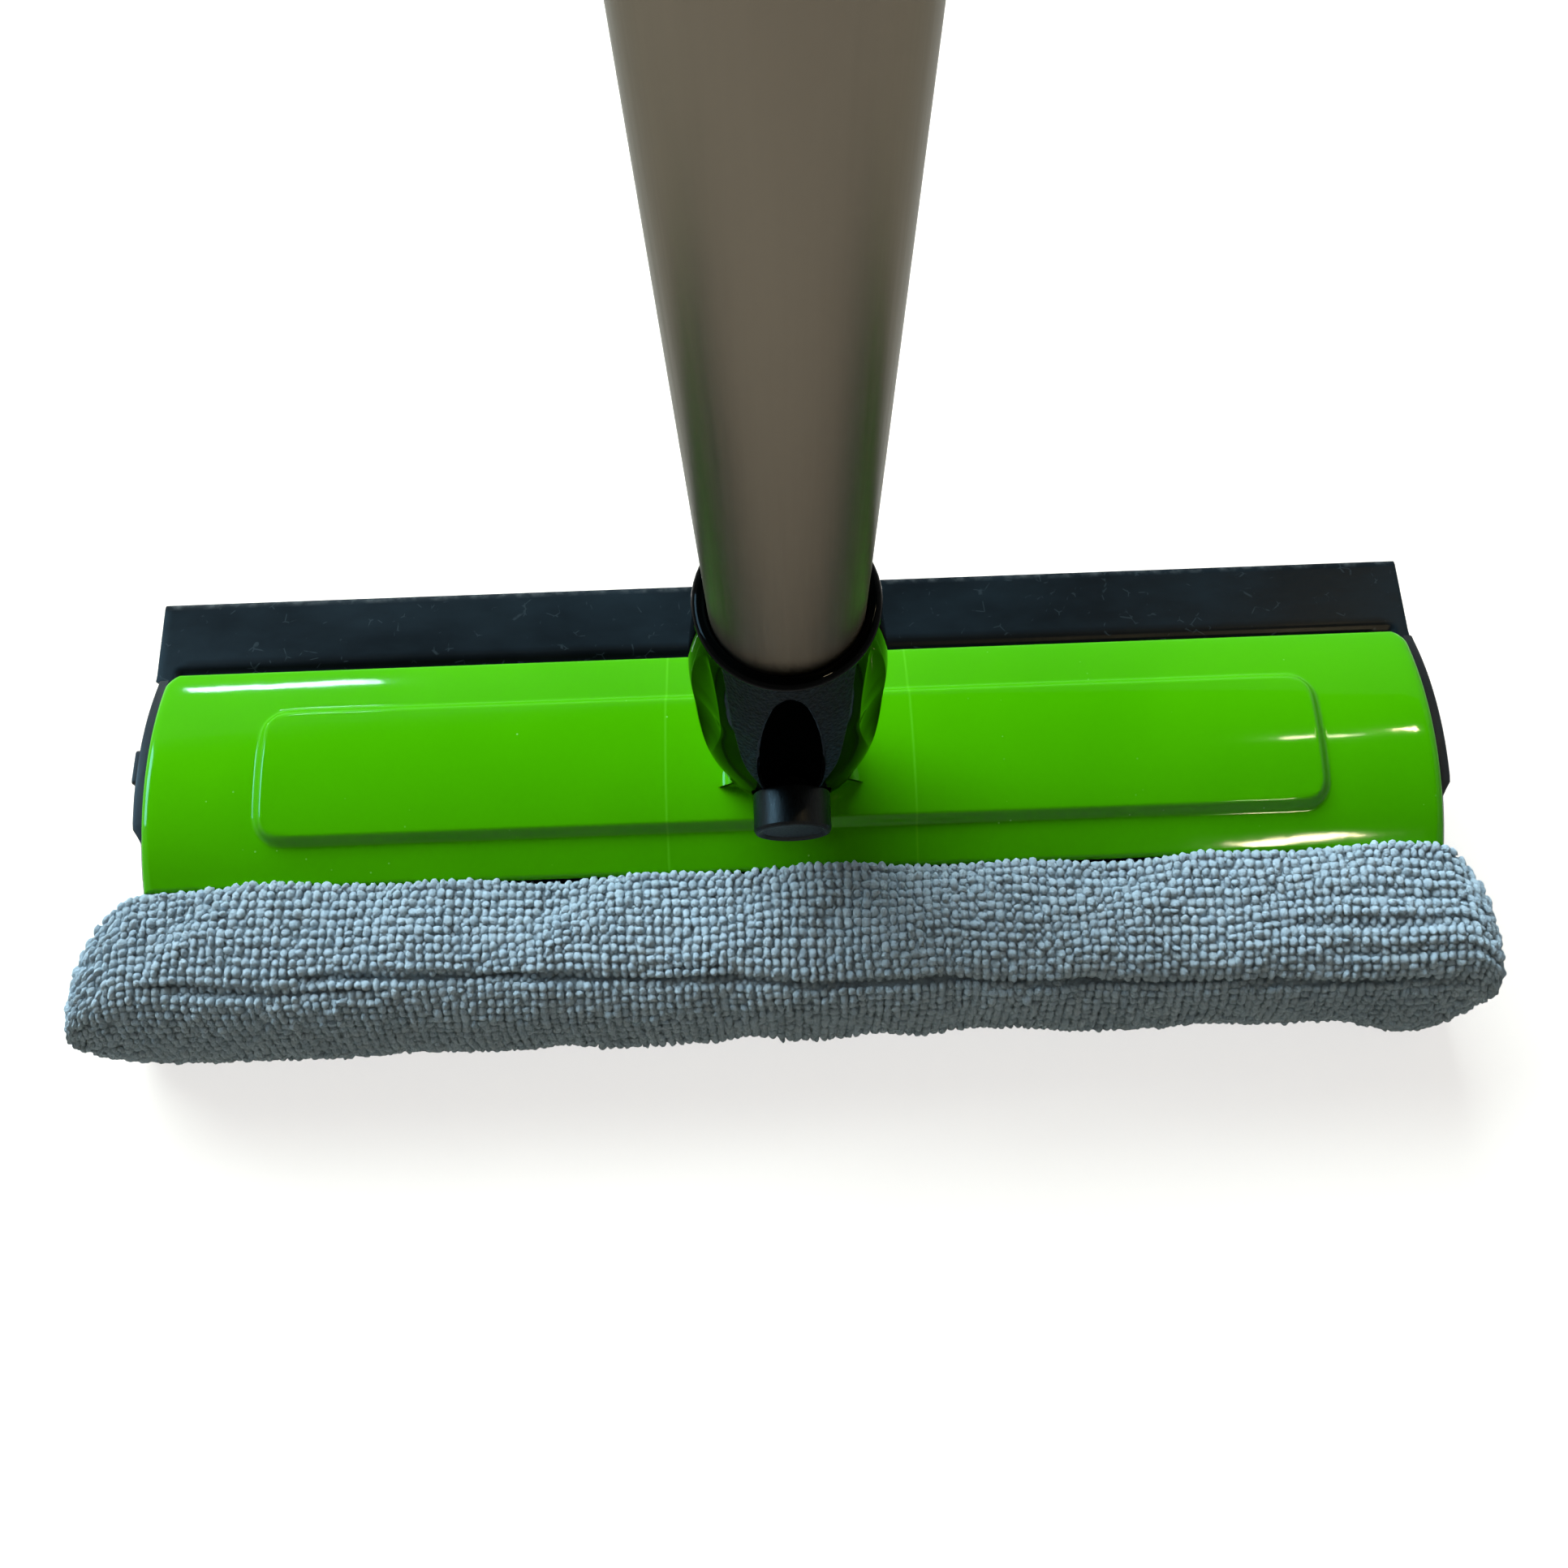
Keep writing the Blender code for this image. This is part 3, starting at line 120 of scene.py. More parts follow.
# Joins points that lie together, then shades smooth between faces that meet below the sharp angle
def smoothed(piece, sharpDegrees=32, weld=True):
    if weld:
        work = bmesh.new()
        work.from_mesh(piece.data)
        bmesh.ops.remove_doubles(work, verts=work.verts, dist=2e-7)
        bmesh.ops.dissolve_degenerate(work, edges=work.edges, dist=2e-7)
        work.to_mesh(piece.data)
        work.free()
    piece.data.shade_smooth()
    piece.data.set_sharp_from_angle(angle=radians(sharpDegrees))
    return piece


# Cuts a closed skin out of a finished piece, and keeps the result as its own mesh
def carve(piece, skin):
    tool = smoothed(meshObject("tool", [skin]))
    change = piece.modifiers.new("carve", "BOOLEAN")
    change.operation = "DIFFERENCE"
    change.object = tool
    bpy.context.view_layer.update()
    graph = bpy.context.evaluated_depsgraph_get()
    result = bpy.data.meshes.new_from_object(piece.evaluated_get(graph))
    piece.modifiers.clear()
    old = piece.data
    result.name = old.name
    piece.data = result
    bpy.data.meshes.remove(old)
    removed(tool)


def dressed(piece, finish, body, replaced):
    piece.data.materials.clear()
    piece.data.materials.append(finishes[finish])
    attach(piece, body)
    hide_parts(*replaced)
    return piece


# A finished piece: its skins less the cuts, with its finish, body and the nodes it replaces
def addPiece(name, skins, finish, body, replaced, sharpDegrees=30, cuts=(), values=None):
    piece = smoothed(meshObject(name, skins, values), sharpDegrees)
    for cut in cuts:
        carve(piece, cut)
    if cuts:
        smoothed(piece, sharpDegrees, False)
    return dressed(piece, finish, body, replaced)


# Corners of a closed outline rounded: each becomes a quadratic curve that starts and ends one radius away
def roundedOutline(corners, radii, steps=5):
    corners = np.asarray(corners, float)
    radii = np.broadcast_to(np.asarray(radii, float), len(corners))
    before, after = np.roll(corners, 1, 0) - corners, np.roll(corners, -1, 0) - corners
    lengthBefore, lengthAfter = (np.linalg.norm(side, axis=1) for side in (before, after))
    reach = np.minimum(radii, 0.49 * np.minimum(lengthBefore, lengthAfter))
    start = corners + before * (reach / lengthBefore)[:, None]
    end = corners + after * (reach / lengthAfter)[:, None]
    s = np.linspace(0, 1, steps)[None, :, None]
    curve = (1 - s) ** 2 * start[:, None] + 2 * s * (1 - s) * corners[:, None] + s**2 * end[:, None]
    return curve.reshape(-1, 2)


# Outline moved inwards along its normals
def insetOutline(outline, depth):
    along = np.roll(outline, -1, 0) - np.roll(outline, 1, 0)
    along /= np.linalg.norm(along, axis=1)[:, None] + 1e-12
    normal = np.stack([-along[:, 1], along[:, 0]], -1)
    x, y = outline[:, 0], outline[:, 1]
    area = (x * np.roll(y, -1) - y * np.roll(x, -1)).sum()
    return outline + normal * depth * (1 if area > 0 else -1)


# Bar of an outline along X or Y, through (place, inset) stations, so its end edges can be rounded
def barRings(outline, stations, axis):
    rings = []
    for at, depth in stations:
        flat = insetOutline(outline, depth)
        order = (at, flat[:, 0], flat[:, 1]) if axis == "X" else (flat[:, 0], at, flat[:, 1])
        rings.append(gathered(*order))
    return np.stack(rings)


# Stations of a bar whose two end edges are rounded
def roundedEnds(low, high, edge, steps=4):
    turn = np.linspace(0, pi / 2, steps)
    offset, depth = edge * (1 - np.sin(turn)), edge * (1 - np.cos(turn))
    return list(zip(low + depth, offset)) + list(zip(high - depth, offset))[::-1]


def boxSkin(half, lowZ, highZ, low, high, axis):
    corners = np.array([(-half, lowZ), (half, lowZ), (half, highZ), (-half, highZ)])
    return closedSkin(barRings(corners, [(low, 0), (high, 0)], axis))


# Profile of (radius, height) points turned round Z, axis Y lays it along +Y
def turnedRings(profile, steps=96, axis="Z"):
    profile = np.asarray(profile, float)
    turn = np.arange(steps) * 2 * pi / steps
    across, along, height = profile[:, :1] * np.cos(turn), profile[:, :1] * np.sin(turn), profile[:, 1:]
    return gathered(across, height, along) if axis == "Y" else gathered(across, along, height)


def offsetBy(skin, x=0.0, y=0.0, z=0.0):
    return skin[0] + np.array([x, y, z]), skin[1]


# From the head's own measures to the row's frame
def fromCrest(skin):
    return offsetBy(skin, 0.0, place["axisY"], place["crestZ"])


def fromPivot(skin):
    return offsetBy(skin, 0.0, place["axisY"], place["pivotZ"])


def smoothStep(value):
    value = np.clip(value, 0, 1)
    return value * value * (3 - 2 * value)


# Signed distance to a rounded rectangle: negative inside
def roundedBoxDistance(x, y, halfX, lowY, highY, corner):
    dx = np.abs(x) - halfX + corner
    dy = np.abs(y - (lowY + highY) / 2) - (highY - lowY) / 2 + corner
    outside = np.hypot(np.maximum(dx, 0), np.maximum(dy, 0))
    return outside + np.minimum(np.maximum(dx, dy), 0) - corner


# Smooth curve through a table: cubic pieces whose slopes are the means of the neighbours'
def smoothTable(at, places, values):
    places, values = np.asarray(places, float), np.asarray(values, float)
    slope = np.gradient(values, places)
    k = np.clip(np.searchsorted(places, at) - 1, 0, len(places) - 2)
    width = places[k + 1] - places[k]
    t = np.clip((at - places[k]) / width, 0, 1)
    h1, h2 = 2 * t**3 - 3 * t**2 + 1, t**3 - 2 * t**2 + t
    bent = h2 * width * slope[k] + (t**3 - t**2) * width * slope[k + 1]
    return h1 * values[k] + (1 - h1) * values[k + 1] + bent


# Shared finishes
# Linear colour from levels out of 255
def tint(red, green, blue):
    value = np.array([red, green, blue]) / 255
    linear = np.where(value <= 0.04045, value / 12.92, ((value + 0.055) / 1.055) ** 2.4)
    return (*[float(v) for v in linear], 1.0)


# A socket goes into a node's input as a link, anything else as its value
def feed(node, key, value):
    if isinstance(value, bpy.types.NodeSocket):
        node.id_data.links.new(value, node.inputs[key])
    else:
        node.inputs[key].default_value = value


def addNode(tree, kind, inputs=None, **settings):
    made = tree.nodes.new("ShaderNode" + kind)
    for key, value in settings.items():
        setattr(made, key, value)
    for key, value in (inputs or {}).items():
        feed(made, key, value)
    return made


def newFinish(name, colour, roughness, metallic=0.0, **sockets):
    made = bpy.data.materials.new(name)
    made.use_nodes = True
    shader = made.node_tree.nodes["Principled BSDF"]
    sockets.update(Base_Color=colour, Roughness=roughness, Metallic=metallic)
    for key, value in sockets.items():
        shader.inputs[key.replace("_", " ")].default_value = value
    return made, shader


# Object coordinates stretched by a scale for each axis
def objectPlace(shader, scale=(1, 1, 1)):
    source = addNode(shader.id_data, "TexCoord")
    return addNode(shader.id_data, "Mapping", {"Vector": source.outputs["Object"], "Scale": scale}).outputs[0]


def axesOf(where):
    return addNode(where.id_data, "SeparateXYZ", {"Vector": where}).outputs


def marked(shader, name):
    return addNode(shader.id_data, "Attribute", attribute_name=name, attribute_type="GEOMETRY").outputs["Fac"]


def noise(where, scale, detail=3.0, roughness=0.55):
    inputs = {"Vector": where, "Scale": scale, "Detail": detail, "Roughness": roughness}
    return addNode(where.id_data, "TexNoise", inputs).outputs["Fac"]


def cells(where, scale, feature="F1"):
    inputs = {"Vector": where, "Scale": scale}
    return addNode(where.id_data, "TexVoronoi", inputs, feature=feature).outputs["Distance"]


def ramp(value, low, high, fromValue=0.0, toValue=1.0):
    inputs = {"Value": value, "From Min": low, "From Max": high, "To Min": fromValue, "To Max": toValue}
    return addNode(value.id_data, "MapRange", inputs).outputs["Result"]


def mixColour(factor, first, second):
    return addNode(factor.id_data, "Mix", {0: factor, 6: first, 7: second}, data_type="RGBA").outputs[2]


def maths(operation, first, second=0.5):
    return addNode(first.id_data, "Math", {0: first, 1: second}, operation=operation).outputs[0]


# Product of two or more values
def times(first, *others):
    for other in others:
        first = maths("MULTIPLY", first, other)
    return first


def bumpInto(shader, height, strength, distance):
    bump = addNode(shader.id_data, "Bump", {"Height": height, "Strength": strength, "Distance": distance})
    feed(shader, "Normal", bump.outputs[0])


# Lime plastic: deep even colour, a faint cloud from the mould, specks of dust, two thin witness lines
def limeFinish():
    made, shader = newFinish("limePlastic", tint(66, 156, 0), 0.10, Specular_IOR_Level=0.08)
    where = objectPlace(shader)
    base = mixColour(ramp(noise(where, 22, 2), 0.3, 0.7), tint(64, 154, 0), tint(70, 162, 1))
    fromLine = maths("SUBTRACT", maths("ABSOLUTE", axesOf(where)["X"]), 0.0242)
    line = ramp(maths("ABSOLUTE", fromLine), 0.0, 0.00035, 1, 0)
    base = mixColour(times(line, 0.35), base, tint(100, 190, 40))
    dust = times(ramp(cells(where, 420), 0.10, 0.06), ramp(noise(where, 90, 2), 0.60, 0.66), 0.5)
    feed(shader, "Base Color", mixColour(dust, base, tint(150, 220, 120)))
    wipe = noise(objectPlace(shader, (1, 6, 1)), 60, 5)
    feed(shader, "Roughness", ramp(wipe, 0.3, 0.8, 0.05, 0.085))
    bumpInto(shader, noise(where, 160, 2), 0.05, 0.0004)
    return made


# Black satin plastic of the frame: faint moulded grain and dusty patches
def frameFinish():
    made, shader = newFinish("satinBlackPlastic", tint(30, 32, 34), 0.42, Specular_IOR_Level=0.12)
    where = objectPlace(shader)
    dusty = ramp(noise(where, 45, 4), 0.45, 0.75)
    feed(shader, "Base Color", mixColour(dusty, tint(21, 24, 26), tint(33, 38, 42)))
    feed(shader, "Roughness", ramp(noise(where, 180, 3), 0.3, 0.7, 0.34, 0.52))
    bumpInto(shader, noise(where, 1500, 2), 0.12, 0.0002)
    return made


# Blade rubber: blue-black, with painted shade in a rounded band beside the cover, with wiped dust, curled
# scuffs and pale wear along the wiping edge
def rubberFinish():
    made, shader = newFinish("bladeRubber", tint(26, 38, 45), 0.44, Specular_IOR_Level=0.06)
    where = objectPlace(shader)
    axes = axesOf(where)
    cloud = ramp(noise(objectPlace(shader, (1, 2.2, 1)), 26, 5, 0.6), 0.40, 0.72)
    base = mixColour(cloud, tint(12, 19, 23), tint(20, 31, 37))
    # Painted shade: the rubber darkened in a rounded band along the cover's rear edge, where the cover shades
    # it
    across = maths("MAXIMUM", maths("SUBTRACT", maths("ABSOLUTE", axes["X"]), 0.1240), 0.0)
    behind = maths("MAXIMUM", maths("SUBTRACT", axes["Y"], 0.0312), 0.0)
    reach = maths("SQRT", maths("ADD", maths("POWER", across, 2.0), maths("POWER", behind, 2.0)))
    base = mixColour(ramp(reach, 0.0037, 0.0024, 0, 0.85), base, tint(6, 8, 9))
    curl = cells(where, 330, "DISTANCE_TO_EDGE")
    scuff = times(ramp(curl, 0.05, 0.015), ramp(noise(where, 300, 2), 0.60, 0.66), 0.30)
    base = mixColour(scuff, base, tint(62, 72, 76))
    wear = times(ramp(axes["Y"], 0.0462, 0.0475), ramp(noise(where, 400, 3), 0.45, 0.7), 0.5)
    feed(shader, "Base Color", mixColour(wear, base, tint(92, 96, 96)))
    feed(shader, "Roughness", ramp(cloud, 0, 1, 0.34, 0.48))
    bumpInto(shader, noise(where, 700, 4), 0.10, 0.0003)
    return made


# Socket: leather-like grain where the skin is marked as grained, with painted shade darkening it towards the
# top, a gloss elsewhere
def socketFinish():
    made, shader = newFinish("socketBlack", tint(13, 15, 17), 0.1, Specular_IOR_Level=0.018)
    where, stretched = objectPlace(shader), objectPlace(shader, (1, 1, 0.45))
    matte = ramp(marked(shader, "grained"), 0.35, 0.65)
    grain = cells(stretched, 2100, "SMOOTH_F1")
    height = maths("ADD", times(grain, 0.8), noise(stretched, 1500, 5, 0.65))
    skin = mixColour(ramp(height, 0.6, 1.3), tint(6, 10, 12), tint(34, 51, 63))
    # Painted shade: the grain made darker towards the top of the socket
    skin = mixColour(ramp(axesOf(where)["Z"], 0.078, 0.104, 0, 0.7), skin, tint(6, 8, 9))
    feed(shader, "Base Color", mixColour(matte, tint(2, 3, 3), skin))
    feed(shader, "Roughness", ramp(matte, 0, 1, 0.05, 0.46))
    bumpInto(shader, times(height, matte), 0.8, 0.00030)
    return made


# Painted shade of the recess: dull black with no reflection at all, with a few pale specks of dust
def recessShadeFinish():
    made, shader = newFinish("recessPaintedShade", tint(1, 2, 2), 0.6, Specular_IOR_Level=0.0)
    where = objectPlace(shader)
    dust = times(ramp(cells(where, 900), 0.16, 0.10), ramp(noise(where, 300, 2), 0.60, 0.64), 0.5)
    feed(shader, "Base Color", mixColour(dust, tint(1, 2, 2), tint(70, 74, 76)))
    return made


# Button: fine lines along the barrel, from noise drawn out along Y
def buttonFinish():
    made, shader = newFinish("buttonBlack", tint(14, 19, 23), 0.34, Specular_IOR_Level=0.08)
    lines = noise(objectPlace(shader, (1, 0.16, 1)), 3600, 4, 0.7)
    feed(shader, "Base Color", mixColour(ramp(lines, 0.35, 0.7), tint(5, 8, 9), tint(15, 22, 26)))
    feed(shader, "Roughness", ramp(lines, 0.3, 0.7, 0.26, 0.42))
    bumpInto(shader, lines, 0.35, 0.00012)
    return made


# Satin tube: warm silver, with a very fine grain drawn out along the pole
def tubeFinish():
    made, shader = newFinish("satinTube", tint(98, 90, 78), 0.36, 0.85, Specular_Tint=(0.42, 0.42, 0.40, 1.0))
    grain = noise(objectPlace(shader, (1, 1, 0.02)), 1400, 3, 0.6)
    cloud = noise(objectPlace(shader, (1, 1, 0.3)), 14, 3)
    feed(shader, "Base Color", mixColour(ramp(cloud, 0.3, 0.7), tint(94, 86, 75), tint(102, 94, 82)))
    feed(shader, "Roughness", ramp(grain, 0.3, 0.7, 0.31, 0.37))
    bumpInto(shader, grain, 0.03, 0.0001)
    return made


def steelFinish():
    made, shader = newFinish("zincSteel", tint(196, 198, 198), 0.30, 1.0)
    spots = noise(objectPlace(shader), 900, 4)
    feed(shader, "Base Color", mixColour(spots, tint(176, 178, 180), tint(212, 212, 208)))
    feed(shader, "Roughness", ramp(spots, 0.3, 0.7, 0.22, 0.40))
    return made


# Grip foam: dark, closed pores of about half a millimetre
def gripFinish():
    made, shader = newFinish("gripFoam", tint(38, 39, 41), 0.82, Specular_IOR_Level=0.12)
    where = objectPlace(shader)
    feed(shader, "Base Color", mixColour(noise(where, 120, 4), tint(28, 29, 31), tint(52, 53, 55)))
    bumpInto(shader, cells(where, 1900), 0.5, 0.0003)
    return made


def foamFinish():
    made, shader = newFinish("padFoam", tint(196, 196, 188), 0.95, Specular_IOR_Level=0.2)
    pores = cells(objectPlace(shader), 1100)
    feed(shader, "Base Color", mixColour(pores, tint(168, 168, 160), tint(206, 206, 198)))
    bumpInto(shader, pores, 0.9, 0.0006)
    return made


# Loops: each has its own shade of colour, with fine strands; painted shade darkens them towards their feet,
# between them and in the creases, and darkens the backing
def loopFinish():
    made, shader = newFinish(
        "greyLoops", tint(200, 226, 242), 0.85, Specular_IOR_Level=0.25,
        Sheen_Weight=0.7, Sheen_Roughness=0.6, Sheen_Tint=(0.75, 0.92, 1.0, 1.0),
    )
    where = objectPlace(shader)
    strands = noise(where, 3600, 4, 0.75)
    base = mixColour(marked(shader, "shade"), tint(196, 220, 236), tint(226, 244, 254))
    base = mixColour(ramp(noise(where, 70, 3), 0.35, 0.7, 0, 0.35), base, tint(190, 212, 226))
    base = mixColour(ramp(strands, 0.35, 0.75, 0, 0.35), base, tint(240, 250, 255))
    # Painted shade: darker where the depth mark is low, at the knots' feet, between knots, in the creases and
    # on the backing
    base = mixColour(ramp(marked(shader, "depth"), 0.05, 0.6, 0.6, 0), base, tint(110, 128, 140))
    feed(shader, "Base Color", base)
    bumpInto(shader, strands, 1.0, 0.0009)
    return made


finishes = {
    "lime": limeFinish(),
    "frame": frameFinish(),
    "rubber": rubberFinish(),
    "socket": socketFinish(),
    "recess": recessShadeFinish(),
    "button": buttonFinish(),
    "tube": tubeFinish(),
    "steel": steelFinish(),
    "grip": gripFinish(),
    "foam": foamFinish(),
    "loops": loopFinish(),
}
print("finishes made:", len(finishes))

# Cover
cover = {
    "length": 0.254,
    "archRadius": 0.055,
    "wall": 0.0022,
    "back": 0.0253,
    "front": 0.0212,
    "cornerRadius": 0.0034,
    "panelLength": 0.208,
    "panelBack": 0.0142,
    "panelFront": 0.0123,
    "panelRise": 0.0016,
    "panelSlope": 0.0025,
    "panelCorner": 0.0048,
    # first and last place and number of the grid's lines, besides the panel's slopes and the edges
    "alongLines": ((0.0, 0.1, 26), (0.108, 0.1248, 8), (0.1252, 0.1255, 2)),
    "acrossLines": ((0.0173, 0.0232, 8), (-0.0098, 0.0118, 26), (-0.0198, -0.0150, 5)),
    "slopeLines": (-0.0024, 0.0024, 17),
    "earRadius": 0.0112,
    "earHalf": 0.0052,
    "earFoot": 0.01425,
    "earBase": -0.01395,
    "earSunk": 0.003,
    "earFillet": 0.0028,
    "earEdge": 0.0011,
    "earBore": 0.0073,
    "earSteps": ((0.0033, -0.0037), (0.0033, -0.0027), (0.0036, -0.0027), (0.0054, 0.0009), (0.0056, 0.0009),
                 (0.0056, 0.0037)),
    "earFade": 0.0045,
    "footGap": 0.00012,
    "footFade": 0.006,
}


# Places along one edge, close together at the edge so that its rounding has the points it needs
def edgeLines(limit, wall, steps=6):
    turn = np.linspace(0, pi / 2, steps)
    return limit - wall / 2 * (1 - np.cos(turn))


# Arch along X: radius = middle radius + half the wall * the edge's quarter circle + the panel's smooth step,
# over plan points (x, y), where height = radius * cos(angle) and y = radius * sin(angle)
def coverSkins(s):
    half, wall = s["length"] / 2, s["wall"]
    slope = np.linspace(*s["slopeLines"])
    side = [np.linspace(*lines) for lines in s["alongLines"]]
    side = np.concatenate(side + [s["panelLength"] / 2 + slope, edgeLines(half, wall)])
    across = [np.linspace(*lines) for lines in s["acrossLines"]]
    across += [s["panelBack"] + slope, slope - s["panelFront"]]
    across += [edgeLines(s["back"], wall), -edgeLines(s["front"], wall)]
    x, y = (np.unique(np.round(np.concatenate(lines), 7)) for lines in ([-side, side], across))
    gx, gy = np.meshgrid(x, y, indexing="ij")
    corner = s["cornerRadius"]
    past = np.clip(corner - (s["back"] - gy), 0, corner)
    reach = half - corner + np.sqrt(corner**2 - past**2)
    start = half - 2 * corner
    outer = np.clip((np.abs(gx) - start) / (half - start), 0, 1)
    gx = np.where(np.abs(gx) > start, np.sign(gx) * (start + outer * (reach - start)), gx)
    inward = np.minimum((reach - np.abs(gx)) / 2.0, np.minimum(s["back"] - gy, s["front"] + gy))
    part = np.clip(inward / (wall / 2), 0, 1)
    lift = wall / 2 * np.sqrt(np.clip(1 - (1 - part) ** 2, 0, 1))
    panel = (s["panelLength"] / 2, -s["panelFront"], s["panelBack"], s["panelCorner"])
    away = roundedBoxDistance(gx, gy, *panel)
    rise = s["panelRise"] * smoothStep(0.5 - away / s["panelSlope"])
    middle = s["archRadius"] - wall / 2
    angle = np.arcsin(gy / s["archRadius"])
    skins = [
        gathered(gx, radius * np.sin(angle), radius * np.cos(angle) - s["archRadius"]).reshape(-1, 3)
        for radius in (middle + lift + rise, middle - lift)
    ]
    faces = gridFaces(*gx.shape)
    return np.concatenate(skins), [faces, faces[:, ::-1] + gx.size]


# Half of the ear's outline, from the circle down a straight flank and a quarter circle of fillet to the foot
def earFlank(s, start):
    bend = np.linspace(pi / 2, 0, 8)
    fillet = s["earFillet"]
    curve = np.stack([s["earFoot"] - fillet * np.sin(bend), s["earBase"] + fillet * (1 - np.cos(bend))], -1)
    side = np.linspace(0, 1, 8)[1:-1, None]
    return np.concatenate([start + (curve[0] - start) * side, curve])


# Ear round the swivel axis: for each direction its section runs up the stepped bore and out to the outline.
# The rounded edge fades where the foot meets the cover, and the foot drops with the arch below it,
# by radius - sqrt(radius^2 - y^2)
def earSkin(s):
    base, half = s["earBase"], s["earHalf"]
    turn = np.linspace(0, pi, 37)
    circle = s["earRadius"] * np.stack([np.cos(turn), np.sin(turn)], -1)
    right = earFlank(s, circle[0])
    bottom = np.stack([np.linspace(s["earFoot"], -s["earFoot"], 24), np.full(24, base - s["earSunk"])], -1)
    left = right[::-1] * np.array([-1.0, 1.0])
    outline = np.concatenate([circle[::-1], right, bottom, left])
    angle = np.arctan2(outline[:, 1], outline[:, 0])
    out = np.hypot(outline[:, 0], outline[:, 1])
    bore, steps = s["earBore"], s["earSteps"]
    steps = ((bore, -half), (bore, steps[0][1]), *steps, (bore, steps[-1][1]), (bore, half))
    bend = s["earEdge"] * (1 - np.sin(np.linspace(0, pi / 2, 6)))
    rim = list(zip(bend, half - bend[::-1])) + list(zip(bend[::-1], bend - half))
    fade = smoothStep((outline[:, 1] - base - 0.0004) / s["earFade"])
    sections = list(steps) + [(out - inward * fade, y) for inward, y in rim]
    rings = np.stack([gathered(r * np.cos(angle), y, r * np.sin(angle)) for r, y in sections])
    crest = s["archRadius"] + s["panelRise"]
    drop = crest - np.sqrt(crest**2 - rings[..., 1] ** 2) + s["footGap"]
    rings[..., 2] -= drop * (1 - smoothStep((rings[..., 2] - base) / s["footFade"]))
    return loopSkin(rings)


skins = [fromCrest(coverSkins(cover)), fromPivot(earSkin(cover))]
addPiece("coverSkin", skins, "lime", "head", ["cover_shell"], 50)
print("cover made")

# Blade
blade = {
    "left": -0.1313,
    "right": 0.1301,
    "halfInside": 0.1269,
    "level": -0.0116,
    "root": 0.0249,
    "reach": 0.0426,
    "rootHalf": 0.0016,
    "tipHalf": 0.0008,
    "tipEase": 0.0003,
    "hollow": 0.0008,
    "hollowEnd": 0.0283,
    "hollowSide": 0.1278,
    "hollowFade": 0.0016,
    # places of the extra stations where the hollow fades
    "nearEnd": (0.1255, 0.1292, 9),
    "tipRun": 0.0004,
    "beadCorners": ((0.0172, -0.0031), (0.0203, -0.0031), (0.0203, -0.0016), (0.0256, -0.0015),
                    (0.0256, 0.0008), (0.0203, 0.0016), (0.0203, 0.0031), (0.0172, 0.0031)),
    "beadRadii": (0.0006, 0.0006, 0.0003, 0.0002, 0.0002, 0.0003, 0.0006, 0.0006),
}


# Lip: a taper from root to tip. Its upper face dips by a hollow beside the cover, which fades before each end
def lipSkin(s):
    run = np.linspace(0, 1, 30) ** 1.2
    y = s["root"] + (s["reach"] - s["root"]) * run
    half = s["rootHalf"] + (s["tipHalf"] - s["rootHalf"]) * run
    half = half - s["tipEase"] * np.clip(1 - (s["reach"] - y) / s["tipRun"], 0, 1) ** 2
    outline = np.concatenate([np.stack([y, half], -1), np.stack([y, -half], -1)[::-1]])
    stations = roundedEnds(s["left"], s["right"], s["tipEase"])
    near = np.linspace(*s["nearEnd"])
    inner = np.concatenate([-near[::-1], np.linspace(-0.12, 0.12, 9), near])
    rings = barRings(outline, stations[:4] + [(x, 0.0) for x in inner] + stations[4:], "X")
    fade = smoothStep((s["hollowSide"] - np.abs(rings[..., 0])) / s["hollowFade"])
    past = np.maximum(rings[..., 1] - s["root"], 0) - s["hollowFade"]
    depth = s["hollow"] * smoothStep(1 - past / (s["hollowEnd"] - s["root"] - s["hollowFade"]))
    rings[..., 2] -= np.where(rings[..., 2] > 0, depth * fade, 0)
    return offsetBy(closedSkin(rings), z=s["level"])


def beadSkin(s):
    outline = roundedOutline(s["beadCorners"], s["beadRadii"], 4)
    rings = barRings(outline, roundedEnds(-s["halfInside"], s["halfInside"], 0.0002), "X")
    return offsetBy(closedSkin(rings), z=s["level"])


skins = [fromCrest(lipSkin(blade)), fromCrest(beadSkin(blade))]
addPiece("bladeStrip", skins, "rubber", "head", ["squeegee_blade"], 50)

# End caps
endCap = {
    "inner": 0.1273,
    "outer": 0.1293,
    "lugOut": {-1: 0.1302, 1: 0.1294},
    "radius": 0.0534,
    "archRadius": 0.055,
    "back": 0.0243,
    "front": -0.0208,
    "bottom": -0.018,
    "chamfer": 0.0024,
    "footShare": 0.08,
    "footTop": -0.0115,
    "footFade": 0.0035,
    "lug": ((0.0080, -0.0066), (0.0080, -0.0026), (0.0008, -0.0020), (0.0008, -0.0066)),
    "plug": ((0.009, -0.0153), (0.009, -0.0088), (-0.009, -0.0088), (-0.009, -0.0153)),
    "plugRun": (0.1223, 0.1279, 0.0003),
    "plateEdge": 0.0005,
    "lugEdge": 0.0002,
    "lugInset": 0.0006,
}


